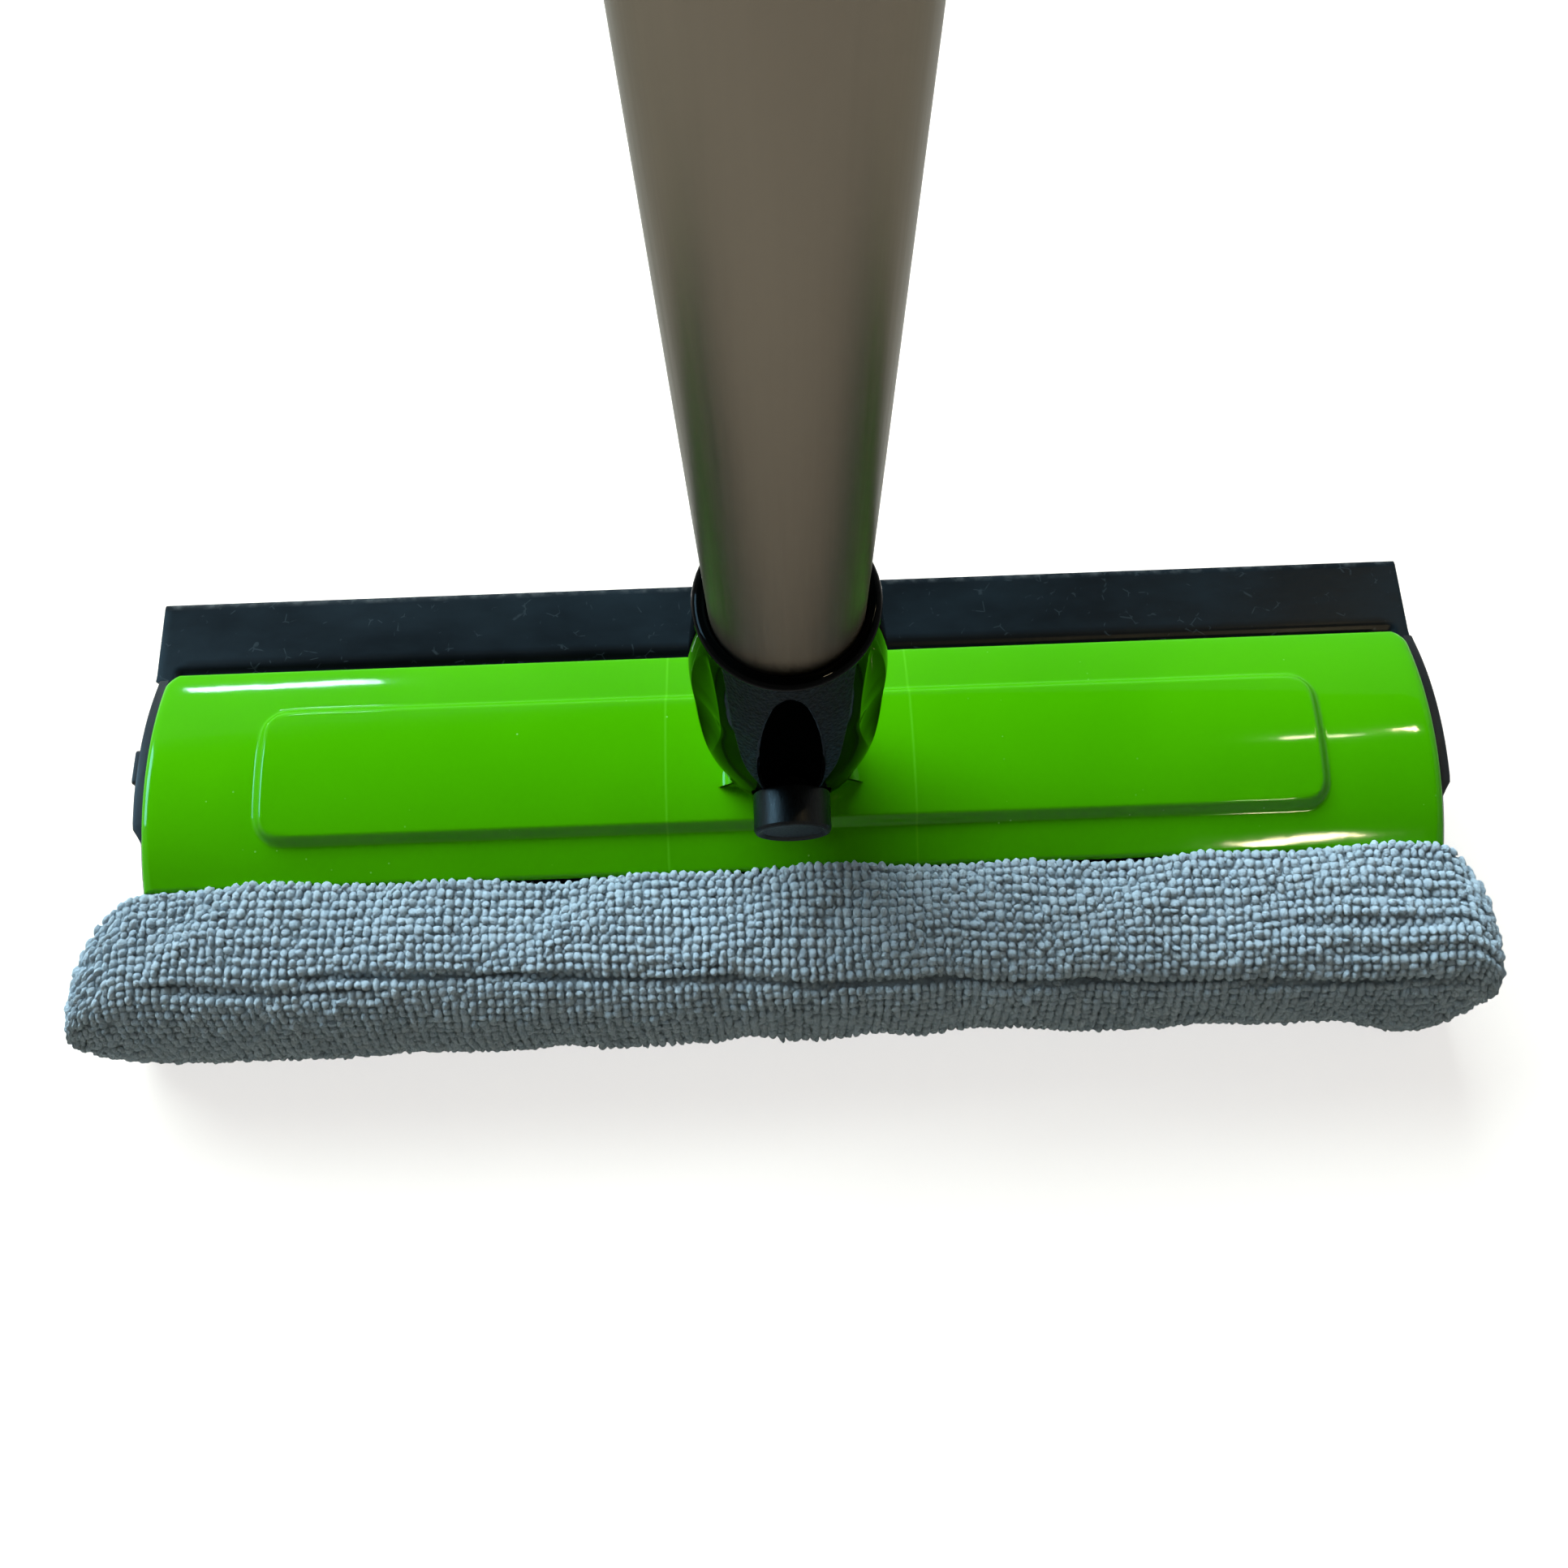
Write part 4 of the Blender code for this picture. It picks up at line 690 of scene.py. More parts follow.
# Plate with an arched top and a chamfer behind, its outer edges rounded and its foot thinned, a plug inside
# and a lug outside. The sum of squares of the arch's height and depth is its radius squared
def endCapSkins(s, side):
    top = np.linspace(s["back"], s["front"], 34)
    arch = np.stack([top, np.sqrt(s["radius"] ** 2 - top**2) - s["archRadius"]], -1)
    front, back, bottom, chamfer = (s[key] for key in ("front", "back", "bottom", "chamfer"))
    corners = [(front, bottom + 0.003), (front, bottom), (back - chamfer, bottom)]
    corners += [(back, bottom + chamfer), (back, bottom + 0.005)]
    base = roundedOutline(corners, (1e-6, 0.0008, 0.0008, 0.0006, 1e-6), 4)
    stations = [(s["inner"], 0.0)] + roundedEnds(s["inner"], s["outer"], s["plateEdge"])[4:]
    plate = barRings(np.concatenate([arch, base]), stations, "X")
    full = smoothStep((plate[..., 1] - s["footTop"]) / s["footFade"])
    full = s["footShare"] + (1 - s["footShare"]) * full
    plate[..., 0] = s["inner"] + (plate[..., 0] - s["inner"]) * full
    lugOut, inset = s["lugOut"][side], s["lugInset"]
    lugStations = roundedEnds(s["outer"] - inset, lugOut, s["lugEdge"]) + [(lugOut, inset)]
    lug = barRings(roundedOutline(s["lug"], 0.0009), lugStations, "X")
    plug = barRings(roundedOutline(s["plug"], 0.0008), roundedEnds(*s["plugRun"]), "X")
    return [fromCrest(closedSkin(part * np.array([side, 1.0, 1.0]))) for part in (plate, lug, plug)]


for name, side, node in (("endCapLeft", -1, "end_cap_left"), ("endCapRight", 1, "end_cap_right")):
    addPiece(name, endCapSkins(endCap, side), "frame", "head", [node], 40)
print("blade and end caps made")

# Screws
coverScrew = {"radius": 0.0031, "height": 0.0018, "shaft": 0.0012, "length": 0.0093, "foot": -0.0183}
tubeScrew = {"radius": 0.0029, "height": 0.0015, "shaft": 0.0013, "length": 0.0048, "foot": 0.0125}
# half width and reach of the recess's arms as shares of the radius, its depth and the crown's fall as shares
# of the height
screwHead = {"arm": 0.13, "reach": 0.62, "depth": 0.55, "fall": 0.35}
screwPlaces = (-0.0975, -0.0195, 0.0195, 0.0975)


# Pan head along +Z from zero to its crown, its shaft below. The cross recess sinks where either arm is near
def panScrew(s):
    radius, height, shaft, length = (s[key] for key in ("radius", "height", "shaft", "length"))
    turn = np.arange(64) * 2 * pi / 64
    part = np.concatenate([np.linspace(0.02, 0.8, 20), np.linspace(0.86, 1.0, 5)])[:, None]
    x, y = radius * part * np.cos(turn), radius * part * np.sin(turn)
    arm, reach = radius * screwHead["arm"], radius * screwHead["reach"]
    near, far = np.minimum(np.abs(x), np.abs(y)), np.maximum(np.abs(x), np.abs(y))
    cut = smoothStep((arm - near) / (arm * 0.3) + 0.5) * smoothStep((reach - far) / (arm * 0.5) + 0.5)
    top = gathered(x, y, height * (1 - screwHead["fall"] * part**4) - screwHead["depth"] * height * cut)
    thread = np.linspace(0, 1, 40)
    ripple = shaft * (1 + 0.10 * np.sin(thread * 2 * pi * 9))
    side = [(radius, height * 0.3), (radius, 0.0), (shaft, 0.0)]
    side += list(zip(ripple, -length * (0.05 + 0.8 * thread))) + [(shaft * 0.35, -length)]
    return closedSkin(np.concatenate([top, turnedRings(side, 64)]))


def turnedDown(skin):
    return skin[0] * np.array([1.0, -1.0, -1.0]), skin[1]


def laidBack(skin):
    return skin[0][:, [0, 2, 1]] * np.array([1.0, 1.0, -1.0]), skin[1]


coverScrewSkin = fromCrest(turnedDown(panScrew(coverScrew)))
skins = [offsetBy(coverScrewSkin, x=x, z=coverScrew["foot"]) for x in screwPlaces]
screwNodes = [f"cover_screw_{k}" for k in (1, 2, 3, 4)]
addPiece("coverScrews", skins, "steel", "head", screwNodes, 45)

# Socket
socket = {
    "levels": (0.0155, 0.0219, 0.030, 0.038, 0.046, 0.054, 0.062, 0.070, 0.0774),
    "halfWidths": (0.0133, 0.01455, 0.01535, 0.01555, 0.0155, 0.0155, 0.0149, 0.0139, 0.0126),
    "halfDepths": (0.0113, 0.0116, 0.0121, 0.0126, 0.0129, 0.0130, 0.0128, 0.0126, 0.0126),
    # height and radius along the lip
    "lip": ((0.0774, 0.01262), (0.0776, 0.01295), (0.0780, 0.01318), (0.0785, 0.01322), (0.0789, 0.01312),
            (0.0793, 0.0128), (0.07955, 0.0123), (0.0796, 0.0119), (0.0795, 0.0116), (0.0792, 0.0113),
            (0.0790, 0.0105)),
    "chinRadius": 0.0133,
    "tubeBore": 0.0113,
    "boreFoot": 0.0413,
    "slotHalf": 0.0055,
    "slotTop": 0.0277,
    "panelTop": 0.0768,
    "panelFoot": 0.0175,
    "squareHeight": 0.052,
    "squareFade": 0.028,
    # height above the crest, half width of the grained panel
    "panel": ((0.0027, 0.0030), (0.0140, 0.0036), (0.0220, 0.0048), (0.0260, 0.0056), (0.0350, 0.0072),
              (0.0400, 0.0078), (0.0500, 0.0085), (0.0580, 0.0088), (0.0660, 0.0090), (0.0740, 0.0092),
              (0.0780, 0.0094)),
    # height, half width, depth of the recess in front
    "recess": ((0.0150, 0.0038, 0.0006), (0.0180, 0.0043, 0.0018), (0.0220, 0.0048, 0.0034),
               (0.0260, 0.0052, 0.0044), (0.0300, 0.0054, 0.0046), (0.0340, 0.0055, 0.0042),
               (0.0375, 0.0055, 0.0030), (0.0408, 0.0055, 0.0011), (0.0460, 0.0054, 0.0011),
               (0.0520, 0.0051, 0.0011), (0.0580, 0.0045, 0.0010), (0.0640, 0.0036, 0.0008),
               (0.0690, 0.0025, 0.0006), (0.0718, 0.0014, 0.0003), (0.0732, 0.0004, 0.0)),
    # height, half angle in degrees, depth of the lens-shaped dent on each side
    "flank": ((0.0290, 1.5, 0.0), (0.0325, 5.0, 0.0002), (0.0370, 8.5, 0.0005), (0.0430, 12.5, 0.0008),
              (0.0500, 15.5, 0.0010), (0.0580, 15.5, 0.0009), (0.0650, 12.5, 0.0006), (0.0710, 7.0, 0.0003),
              (0.0745, 1.5, 0.0)),
    "flankTurn": 60.0,
    "rearBore": ((0.0057, 0.002), (0.0057, 0.009), (0.0065, 0.009), (0.0065, 0.03)),
    "screwBore": ((0.0017, 0.004), (0.0017, 0.0122), (0.0032, 0.0122), (0.0032, 0.03)),
    "screwHeight": 0.0465,
    "buttonBore": (0.0073, -0.03, -0.0072),
    # places and numbers of the liner's rings, how far it stands proud, how far its rim is sunk, its thickness
    "linerLines": ((0.0233, 0.066, 60), (0.066, 0.0730, 22)),
    "linerProud": 0.00008,
    "linerSunk": 0.0002,
    "linerWall": 0.0005,
}


# Half width and half depth at a height: the chin is a ball about the swivel axis, the rest a smooth table
def socketHalves(s, height):
    wide, deep = (smoothTable(height, s["levels"], s[key]) for key in ("halfWidths", "halfDepths"))
    below = np.clip((s["levels"][0] - height) / s["chinRadius"], 0, 1)
    left = np.sqrt(1 - below**2)
    wide = np.where(below > 0, s["chinRadius"] * left, wide)
    deep = np.where(below > 0, s["halfDepths"][0] * (0.55 + 0.45 * left), deep)
    return wide, deep


# Points round each ring: x = width * sin, y = -depth * cos, so direction 0 is the front. Low down the section
# is squarer than an ellipse: |sin|^n + |cos|^n = 1 / scale^n, with n from 2 above to 2.45 below
def aroundSocket(s, height, wide, deep, turn):
    power = 2 + 0.45 * smoothStep((s["squareHeight"] - height[:, None]) / s["squareFade"])
    scale = (np.abs(np.sin(turn)) ** power + np.abs(np.cos(turn)) ** power) ** (-1 / power)
    return wide[:, None] * np.sin(turn) * scale, -deep[:, None] * np.cos(turn) * scale


# Depth across a dent: full depth * (1 - share^2) inside its half width, with the edge eased by a small root
def dentAcross(share):
    inside = 1 - share**2
    return (inside + np.sqrt(inside**2 + 0.0009)) / 2 * (np.abs(share) < 1.25)


# Half size from a table of borders, and the depth, which is nothing beyond the table's heights
def borderAt(s, key, height):
    line = np.array(s[key])
    size = smoothTable(np.clip(height, *line[[0, -1], 0]), line[:, 0], line[:, 1])
    return size, np.interp(height, line[:, 0], line[:, -1], 0, 0)


# Socket: rings over the height, whose columns follow the borders of the recess, the panel and the side dents,
# so those borders stay crisp
def socketSkin(s):
    chin = s["levels"][0] - s["chinRadius"] * np.sin(np.linspace(pi / 2 * 0.985, 0, 26))
    height = np.concatenate([chin, np.linspace(s["levels"][0], s["lip"][0][0], 150)[1:]])
    wide, deep = socketHalves(s, height)
    recess, recessDepth = borderAt(s, "recess", height)
    panel, _ = borderAt(s, "panel", height)
    flank, flankDepth = borderAt(s, "flank", height)
    flank = np.maximum(flank, 1.5)
    recessTurn = np.degrees(np.arcsin(np.clip(np.maximum(recess, 0.0004) / wide, 0, 0.9)))
    panelTurn = np.maximum(np.degrees(np.arcsin(np.clip(panel / wide, 0, 0.9))), recessTurn + 1.5)
    inner = np.maximum(s["flankTurn"] - flank, panelTurn + 1.5)
    outer = np.maximum(s["flankTurn"] + flank, inner + 2)
    none = 0 * wide
    borders = (none, recessTurn, panelTurn - 0.4, panelTurn + 0.4, inner, outer, none + 118, none + 180)
    columns = []
    for first, last, count in zip(borders, borders[1:], (14, 12, 1, 8, 26, 12, 12)):
        share = (1 - np.cos(pi * np.arange(count) / count)) / 2
        columns.append(first[:, None] + (last - first)[:, None] * share)
    half = np.concatenate(columns, 1)
    full = np.concatenate([half, np.full((len(height), 1), 180.0), -half[:, :0:-1]], 1)
    turn = np.radians(full)
    x, y = aroundSocket(s, height, wide, deep, turn)
    y = y + recessDepth[:, None] * dentAcross(full / recessTurn[:, None]) * (np.cos(turn) > 0)
    for side in (-1, 1):
        push = flankDepth[:, None] * dentAcross((full - side * s["flankTurn"]) / flank[:, None])
        x = x - push * np.sin(radians(side * s["flankTurn"]))
        y = y + push * np.cos(radians(s["flankTurn"]))
    rings = gathered(x, y, height[:, None])
    lip = np.stack([gathered(r * np.sin(turn[-1]), -r * np.cos(turn[-1]), h) for h, r in s["lip"]])
    beside = (np.abs(full) > recessTurn[:, None] + 0.2) | (height > s["recess"][-1][0])[:, None]
    upright = (height < s["panelTop"]) & (height > s["panelFoot"])
    matte = beside & (np.abs(full) < panelTurn[:, None]) & upright[:, None]
    points, faces = closedSkin(np.concatenate([rings, lip]))
    marks = np.zeros(len(points))
    marks[: matte.size] = matte.ravel()
    return (points, faces), marks


# Liner of the recess, a dull black sheet of painted shade: follows its floor from the button's bore to the
# tip, its rim sunk into the skin
def recessShadeLinerSkin(s):
    height = np.unique(np.concatenate([np.linspace(*lines) for lines in s["linerLines"]]))
    wide, deep = socketHalves(s, height)
    half, depth = borderAt(s, "recess", height)
    share = np.sin(np.linspace(-pi / 2, pi / 2, 33))
    turn = np.arcsin(np.maximum(half, 0.0004) / wide)[:, None] * share
    x, y = aroundSocket(s, height, wide, deep, turn)
    y = y + depth[:, None] * dentAcross(share)
    front = gathered(x, y - s["linerProud"] + s["linerSunk"] * share**12, height[:, None])
    back = gathered(x * 0.97, y + s["linerWall"], height[:, None])[:, ::-1]
    return closedSkin(np.concatenate([front, back], 1))


def cylinderSkin(radius, low, high, axis="Z"):
    return closedSkin(turnedRings([(radius, low), (radius, high)], 96, axis))


skin, grained = socketSkin(socket)
screwBore = closedSkin(turnedRings(socket["screwBore"], 48, "Y"))
cuts = (
    fromCrest(boxSkin(socket["slotHalf"], -0.02, socket["slotTop"], -0.02, 0.02, "X")),
    fromCrest(cylinderSkin(socket["tubeBore"], socket["boreFoot"], 0.09)),
    fromPivot(cylinderSkin(*socket["buttonBore"], "Y")),
    fromPivot(closedSkin(turnedRings(socket["rearBore"], 96, "Y"))),
    offsetBy(fromPivot(screwBore), z=socket["screwHeight"]),
)
skins, marks = [fromCrest(skin)], {"grained": grained}
addPiece("poleSocket", skins, "socket", "socket", ["pole_socket"], 30, cuts, marks)
# The liner paints the recess's shade in dull black
liner = [fromCrest(recessShadeLinerSkin(socket))]
addPiece("recessShadeLiner", liner, "recess", "socket", ["pole_socket"], 60)
print("socket made")

# Button and the fork's rear
button = {
    "radius": 0.0070,
    "front": -0.0182,
    "seat": -0.0110,
    # radius, and distance behind the front
    "face": ((0.0001, 0.0005), (0.0054, 0.0005), (0.0057, 0.0003), (0.0060, 0.0001), (0.0063, 0.0),
             (0.0067, 0.0001), (0.0070, 0.0006)),
    "shankRadius": 0.0029,
    "shankEdge": 0.0003,
    "shankRun": ((-0.0115, 0), (-0.0030, 0)),
}
barrel = [(radius, button["front"] + behind) for radius, behind in button["face"]]
barrel += [(button["radius"], button["seat"]), (0.0001, button["seat"])]
sixth = np.arange(6) * pi / 3
hexagon = button["shankRadius"] * np.stack([np.cos(sixth), np.sin(sixth)], -1)
shank = barRings(roundedOutline(hexagon, button["shankEdge"], 3), button["shankRun"], "Y")
skins = [fromPivot(closedSkin(rings)) for rings in (turnedRings(barrel, 128, "Y"), shank)]
addPiece("pivotButton", skins, "button", "button", ["pivot_button"])
rearCap = ((0.0001, 0.0093), (0.0062, 0.0093), (0.0062, 0.0108), (0.0058, 0.0114), (0.0052, 0.0115),
           (0.0050, 0.0112), (0.0001, 0.0112))
skins = [fromPivot(closedSkin(turnedRings(rearCap, 96, "Y")))]
coinSlot = fromPivot(boxSkin(0.0045, -0.0006, 0.0006, 0.0105, 0.02, "Y"))
addPiece("pivotCap", skins, "frame", "socket", ["pivot_cap"], 30, [coinSlot])
skins = [fromPivot(offsetBy(laidBack(panScrew(tubeScrew)), y=tubeScrew["foot"], z=socket["screwHeight"]))]
addPiece("tubeScrew", skins, "steel", "socket", ["tube_screw"], 45)

# Pole
pole = {
    "innerRadius": 0.011,
    "innerFoot": 0.0416,
    "innerTop": 0.5576,
    "outerRadius": 0.0127,
    "outerFoot": 0.2139,
    "outerTop": 0.6299,
    "wall": 0.001,
    "ease": 0.00025,
    "lockLow": 0.200,
    "lockRadius": 0.017,
    "flutes": 14,
    "fluteDepth": 0.0007,
    "fluteEnds": (0.0016, 0.0262, 0.0024),
    # radius and height of the sleeve of the lock, and of its body
    "lockProfile": (
        (0.0113, 0.0), (0.0160, 0.0), (0.0167, 0.0003), (0.0170, 0.0010), (0.0170, 0.0030),
        (0.0170, 0.0060), (0.0170, 0.0100), (0.0170, 0.0140), (0.0170, 0.0180), (0.0170, 0.0220),
        (0.0170, 0.0250), (0.0170, 0.0270), (0.0167, 0.0277), (0.0160, 0.0280), (0.0145, 0.0280),
        (0.0144, 0.0278), (0.0144, 0.0024), (0.0142, 0.0022), (0.0113, 0.0022),
    ),
    "bodyProfile": (
        (0.0138, 0.2044), (0.0141, 0.2047), (0.0141, 0.2283), (0.0162, 0.2283), (0.0167, 0.2286),
        (0.0167, 0.2302), (0.0165, 0.2306), (0.0149, 0.2390), (0.0147, 0.2402), (0.0147, 0.2418),
        (0.0144, 0.2424), (0.0130, 0.2424), (0.0130, 0.2136), (0.0113, 0.2136), (0.0113, 0.2125),
    ),
}


# Pipe wall as a closed section, its four edges eased
def pipeSkin(radius, low, high):
    inner, ease = radius - pole["wall"], pole["ease"]
    section = [
        (inner + ease, low), (radius - ease, low), (radius, low + ease), (radius, high - ease),
        (radius - ease, high), (inner + ease, high), (inner, high - ease), (inner, low + ease),
    ]
    return fromCrest(loopSkin(turnedRings(section, 160)))


for part, body in (("inner", "socket"), ("outer", "upper_pole")):
    skin = pipeSkin(pole[part + "Radius"], pole[part + "Foot"], pole[part + "Top"])
    addPiece(part + "Tube", [skin], "tube", body, [part + "_tube"])


# Lock sleeve: radius less a scallop for each of 14 flutes, |sin(7 turn)|^6, which fades towards both rims
def lockSleeveSkin():
    profile = np.array(pole["lockProfile"])
    rings = turnedRings(profile, 280)
    flute = pole["fluteDepth"] * np.abs(np.sin(np.arange(280) * pi / 280 * pole["flutes"])) ** 6
    low, high, run = pole["fluteEnds"]
    radius, height = profile.T
    fade = smoothStep((height - low) / run) * smoothStep((high - height) / run) * (radius > 0.0165)
    rings[..., :2] *= (1 - fade[:, None] * flute / pole["lockRadius"])[..., None]
    return offsetBy(loopSkin(rings), z=pole["lockLow"])


addPiece("lockSleeve", [fromCrest(lockSleeveSkin())], "frame", "lock", ["lock_sleeve"], 40)
lockBody = fromCrest(loopSkin(turnedRings(pole["bodyProfile"], 128)))
addPiece("lockBody", [lockBody], "frame", "upper_pole", ["lock_body"])

# Grip and hanging cap
grip = {
    "low": 0.5176,
    "high": 0.6296,
    "radius": 0.0165,
    "bore": 0.0130,
    "edge": 0.0018,
    "grooves": 7,
    "depth": 0.0009,
    "rim": 0.0035,
}
hang = {
    "foot": 0.6302,
    "holeHeight": 0.6470,
    "holeRadius": 0.004,
    "holeSpread": 0.0015,
    "plug": ((0.0114, 0.6140), (0.0114, 0.6300)),
    # height, half width, half depth, power
    "rows": (
        (0.0, 0.0143, 0.0143, 2.0), (0.0004, 0.0147, 0.0147, 2.0), (0.0040, 0.0147, 0.0147, 2.0),
        (0.0062, 0.0146, 0.0144, 2.0), (0.0076, 0.0141, 0.0130, 2.1), (0.0088, 0.0133, 0.0095, 2.3),
        (0.0096, 0.0126, 0.0066, 2.8), (0.0104, 0.0123, 0.0056, 3.4), (0.0116, 0.0122, 0.0055, 4.0),
        (0.0160, 0.0122, 0.0055, 5.0), (0.0208, 0.0122, 0.0055, 5.0), (0.0226, 0.0118, 0.0055, 5.0),
        (0.0240, 0.0109, 0.0055, 4.6), (0.0251, 0.0094, 0.0053, 4.2), (0.0257, 0.0079, 0.0049, 4.0),
        (0.0260, 0.0064, 0.0040, 4.0),
    ),
}


# Grip: a sleeve with rounded edges and grooves, radius = full radius - depth * smooth step at each groove
def gripSkin(s):
    low, high, radius, edge, rim = (s[key] for key in ("low", "high", "radius", "edge", "rim"))
    z = np.linspace(low + edge, high - edge, 240)
    phase = ((z - low - rim) / ((high - low - 2 * rim) / s["grooves"])) % 1
    groove = np.clip(1 - np.abs(phase - 0.5) / 0.16, 0, 1) * ((z > low + rim) & (z < high - rim))
    turn = np.linspace(0, pi / 2, 7)[:-1]
    inset, rise = edge * (1 - np.sin(turn)), edge * (1 - np.cos(turn))
    lowEdge, highEdge = list(zip(radius - inset, low + rise)), list(zip(radius - inset, high - rise))
    outer = list(zip(radius - s["depth"] * smoothStep(groove), z))
    profile = [(s["bore"], low)] + lowEdge + outer + highEdge[::-1] + [(s["bore"], high)]
    return loopSkin(turnedRings(profile, 96))


# Hanging cap: sections go from a circle to a flat tab. Each is |x/a|^n + |y/b|^n = 1 with n from 2 to 5
def hangCapSkins(s):
    rows = np.array(s["rows"])
    fine = np.linspace(0, len(rows) - 1, 90)
    height, wide, deep, power = (smoothTable(fine, np.arange(len(rows)), row)[:, None] for row in rows.T)
    turn = np.arange(128) * 2 * pi / 128
    c, d = np.cos(turn), np.sin(turn)
    x, y = wide * np.sign(c) * np.abs(c) ** (2 / power), deep * np.sign(d) * np.abs(d) ** (2 / power)
    plug = turnedRings(s["plug"], 64)
    return [fromCrest(closedSkin(rings)) for rings in (gathered(x, y, s["foot"] + height), plug)]


# Oval hole: two half circles a little apart
def hangHole(s):
    turn = np.linspace(-pi / 2, pi / 2, 17)
    upper = np.stack([s["holeRadius"] * np.sin(turn), s["holeSpread"] + s["holeRadius"] * np.cos(turn)], -1)
    oval = np.concatenate([upper, -upper]) + np.array([0, s["holeHeight"]])
    return fromCrest(closedSkin(barRings(oval, [(-0.02, 0), (0.02, 0)], "Y")))


addPiece("gripSleeve", [fromCrest(gripSkin(grip))], "grip", "upper_pole", ["grip"], 40)
holes = [hangHole(hang)]
addPiece("hangCap", hangCapSkins(hang), "frame", "upper_pole", ["hang_cap"], 30, holes)
print("pole made")

# Inner pieces that keep the frame's own shape
keptNodes = {
    "steel": ("brake_cone", "cone_screw", "cone_spring"),
    "frame": ("collet", "inner_bush", "head_frame"),
}
for finish, names in keptNodes.items():
    for name in names:
        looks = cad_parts[name].data.materials
        looks.clear()
        looks.append(finishes[finish])

# Pad
pad = {
    "back": 0.0210,
    "depth": 0.0305,
    "top": -0.0030,
    "height": 0.0355,
    "bodyHalf": 0.1255,
    "leftEnd": -0.1445,
    "rightEnd": 0.1385,
    "floor": -0.0380,
    # share of the depth from the rear, share of the height from the top
    "section": ((-0.014, 0.06), (0.030, 0.002), (0.344, 0.0), (0.600, 0.030), (0.745, 0.125),
                (0.900, 0.325), (1.0, 0.581), (0.951, 0.812), (0.803, 0.968), (0.55, 1.0),
                (0.25, 1.0), (0.056, 0.955), (0.0, 0.80), (0.0, 0.42)),
    "endPowers": (1.25, 3.6),
    "shrinkAt": 0.93,
    "shrinkLevel": 0.62,
    "backingInset": 0.0010,
    "foamInset": 0.0030,
    # place of the sag along and round, its spread along and round, how far it goes forward and down
    "sag": (0.1235, 0.44, 0.011, 0.10, 0.0030, 0.0020),
    # place round the girth and its slope, from and to along the length, push, depth
    "creases": (
        (0.212, 0.42, -0.104, 0.136, 0.0070, 0.0017),
        (0.239, 0.42, -0.130, -0.076, 0.0060, 0.0014),
        (0.190, 0.42, -0.036, -0.008, 0.0040, 0.0009),
        (0.192, 0.0, 0.098, 0.150, 0.0040, 0.0010),
        (0.142, 0.0, 0.088, 0.150, 0.0040, 0.0009),
        (0.104, 0.0, 0.096, 0.150, 0.0030, 0.0007),
    ),
}
knot = {
    "pitch": 0.00174,
    "wide": 0.00086,
    "long": 0.00102,
    "tall": 0.00088,
    "rib": 0.13,
    "sunk": 0.0008,
    "between": 0.00062,
}
cloth = {
    "rows": 150,
    "columns": 64,
    "frames": 20,
    "cap": 0.0009,
    "inset": 0.0004,
    "settings": {
        "quality": 5,
        "mass": 0.2,
        "bending_stiffness": 0.05,
        "use_pressure": True,
        "uniform_pressure_force": 4.0,
        "shrink_min": -0.035,
        "vertex_group_mass": "held",
    },
}


# Closed Catmull-Rom curve through the section's points, resampled to even arc lengths
def evenSection(points, samples=720):
    p = np.asarray(points, float) * np.array([pad["depth"], pad["height"]])
    t = np.linspace(0, 1, 24, endpoint=False)[None, :, None]
    before, start, end, after = (np.roll(p, k, 0)[:, None] for k in (1, 0, -1, -2))
    curve = (2 * start + (end - before) * t + (2 * before - 5 * start + 4 * end - after) * t**2
             + (3 * start - before - 3 * end + after) * t**3) / 2
    curve = curve.reshape(-1, 2)
    closed = np.concatenate([curve, curve[:1]])
    run = np.concatenate([[0], np.cumsum(np.linalg.norm(np.diff(closed, axis=0), axis=1))])
    at = np.linspace(0, run[-1], samples + 1)
    return np.stack([np.interp(at, run, closed[:, k]) for k in (0, 1)], -1), float(run[-1])


# One end's run along the drawn-in surface, with its place along X and the shares of depth and height left.
# Each share is cos(turn)^(2 / n), with a low power n for the depth and a high one for the height
def endRun(length, samples=400):
    turn = np.linspace(0, pi / 2 * 0.985, samples)
    wide, tall = (np.cos(turn) ** (2 / power) for power in pad["endPowers"])
    reach = np.sin(turn) ** 0.9 * length
    step = np.hypot(np.diff(reach), np.diff(wide + tall) / 2 * 0.0165)
    return np.concatenate([[0], np.cumsum(step)]), reach, wide, tall


padSection, padGirth = evenSection(pad["section"])
endRuns = {-1: endRun(-pad["leftEnd"] - pad["bodyHalf"]), 1: endRun(pad["rightEnd"] - pad["bodyHalf"])}
padRuns = pad["bodyHalf"] + np.array([endRuns[-1][0][-1], endRuns[1][0][-1]])
settled = {}  # what the cloth simulation leaves: how far each point of a grid over the pad has moved


# Drift between the grid's points, mixed from the four around each place
def driftAt(u, v):
    field, first, last = settled["drift"]
    rows, columns = field.shape[:2]
    a = np.clip((u - first) / (last - first), 0, 1) * (rows - 1.000001)
    b = (v % 1.0) * columns
    i, j = a.astype(int), b.astype(int) % columns
    s, t = (a - i)[..., None], (b - np.floor(b))[..., None]
    near, far = ((1 - t) * field[row, j] + t * field[row, (j + 1) % columns] for row in (i, i + 1))
    return (1 - s) * near + s * far


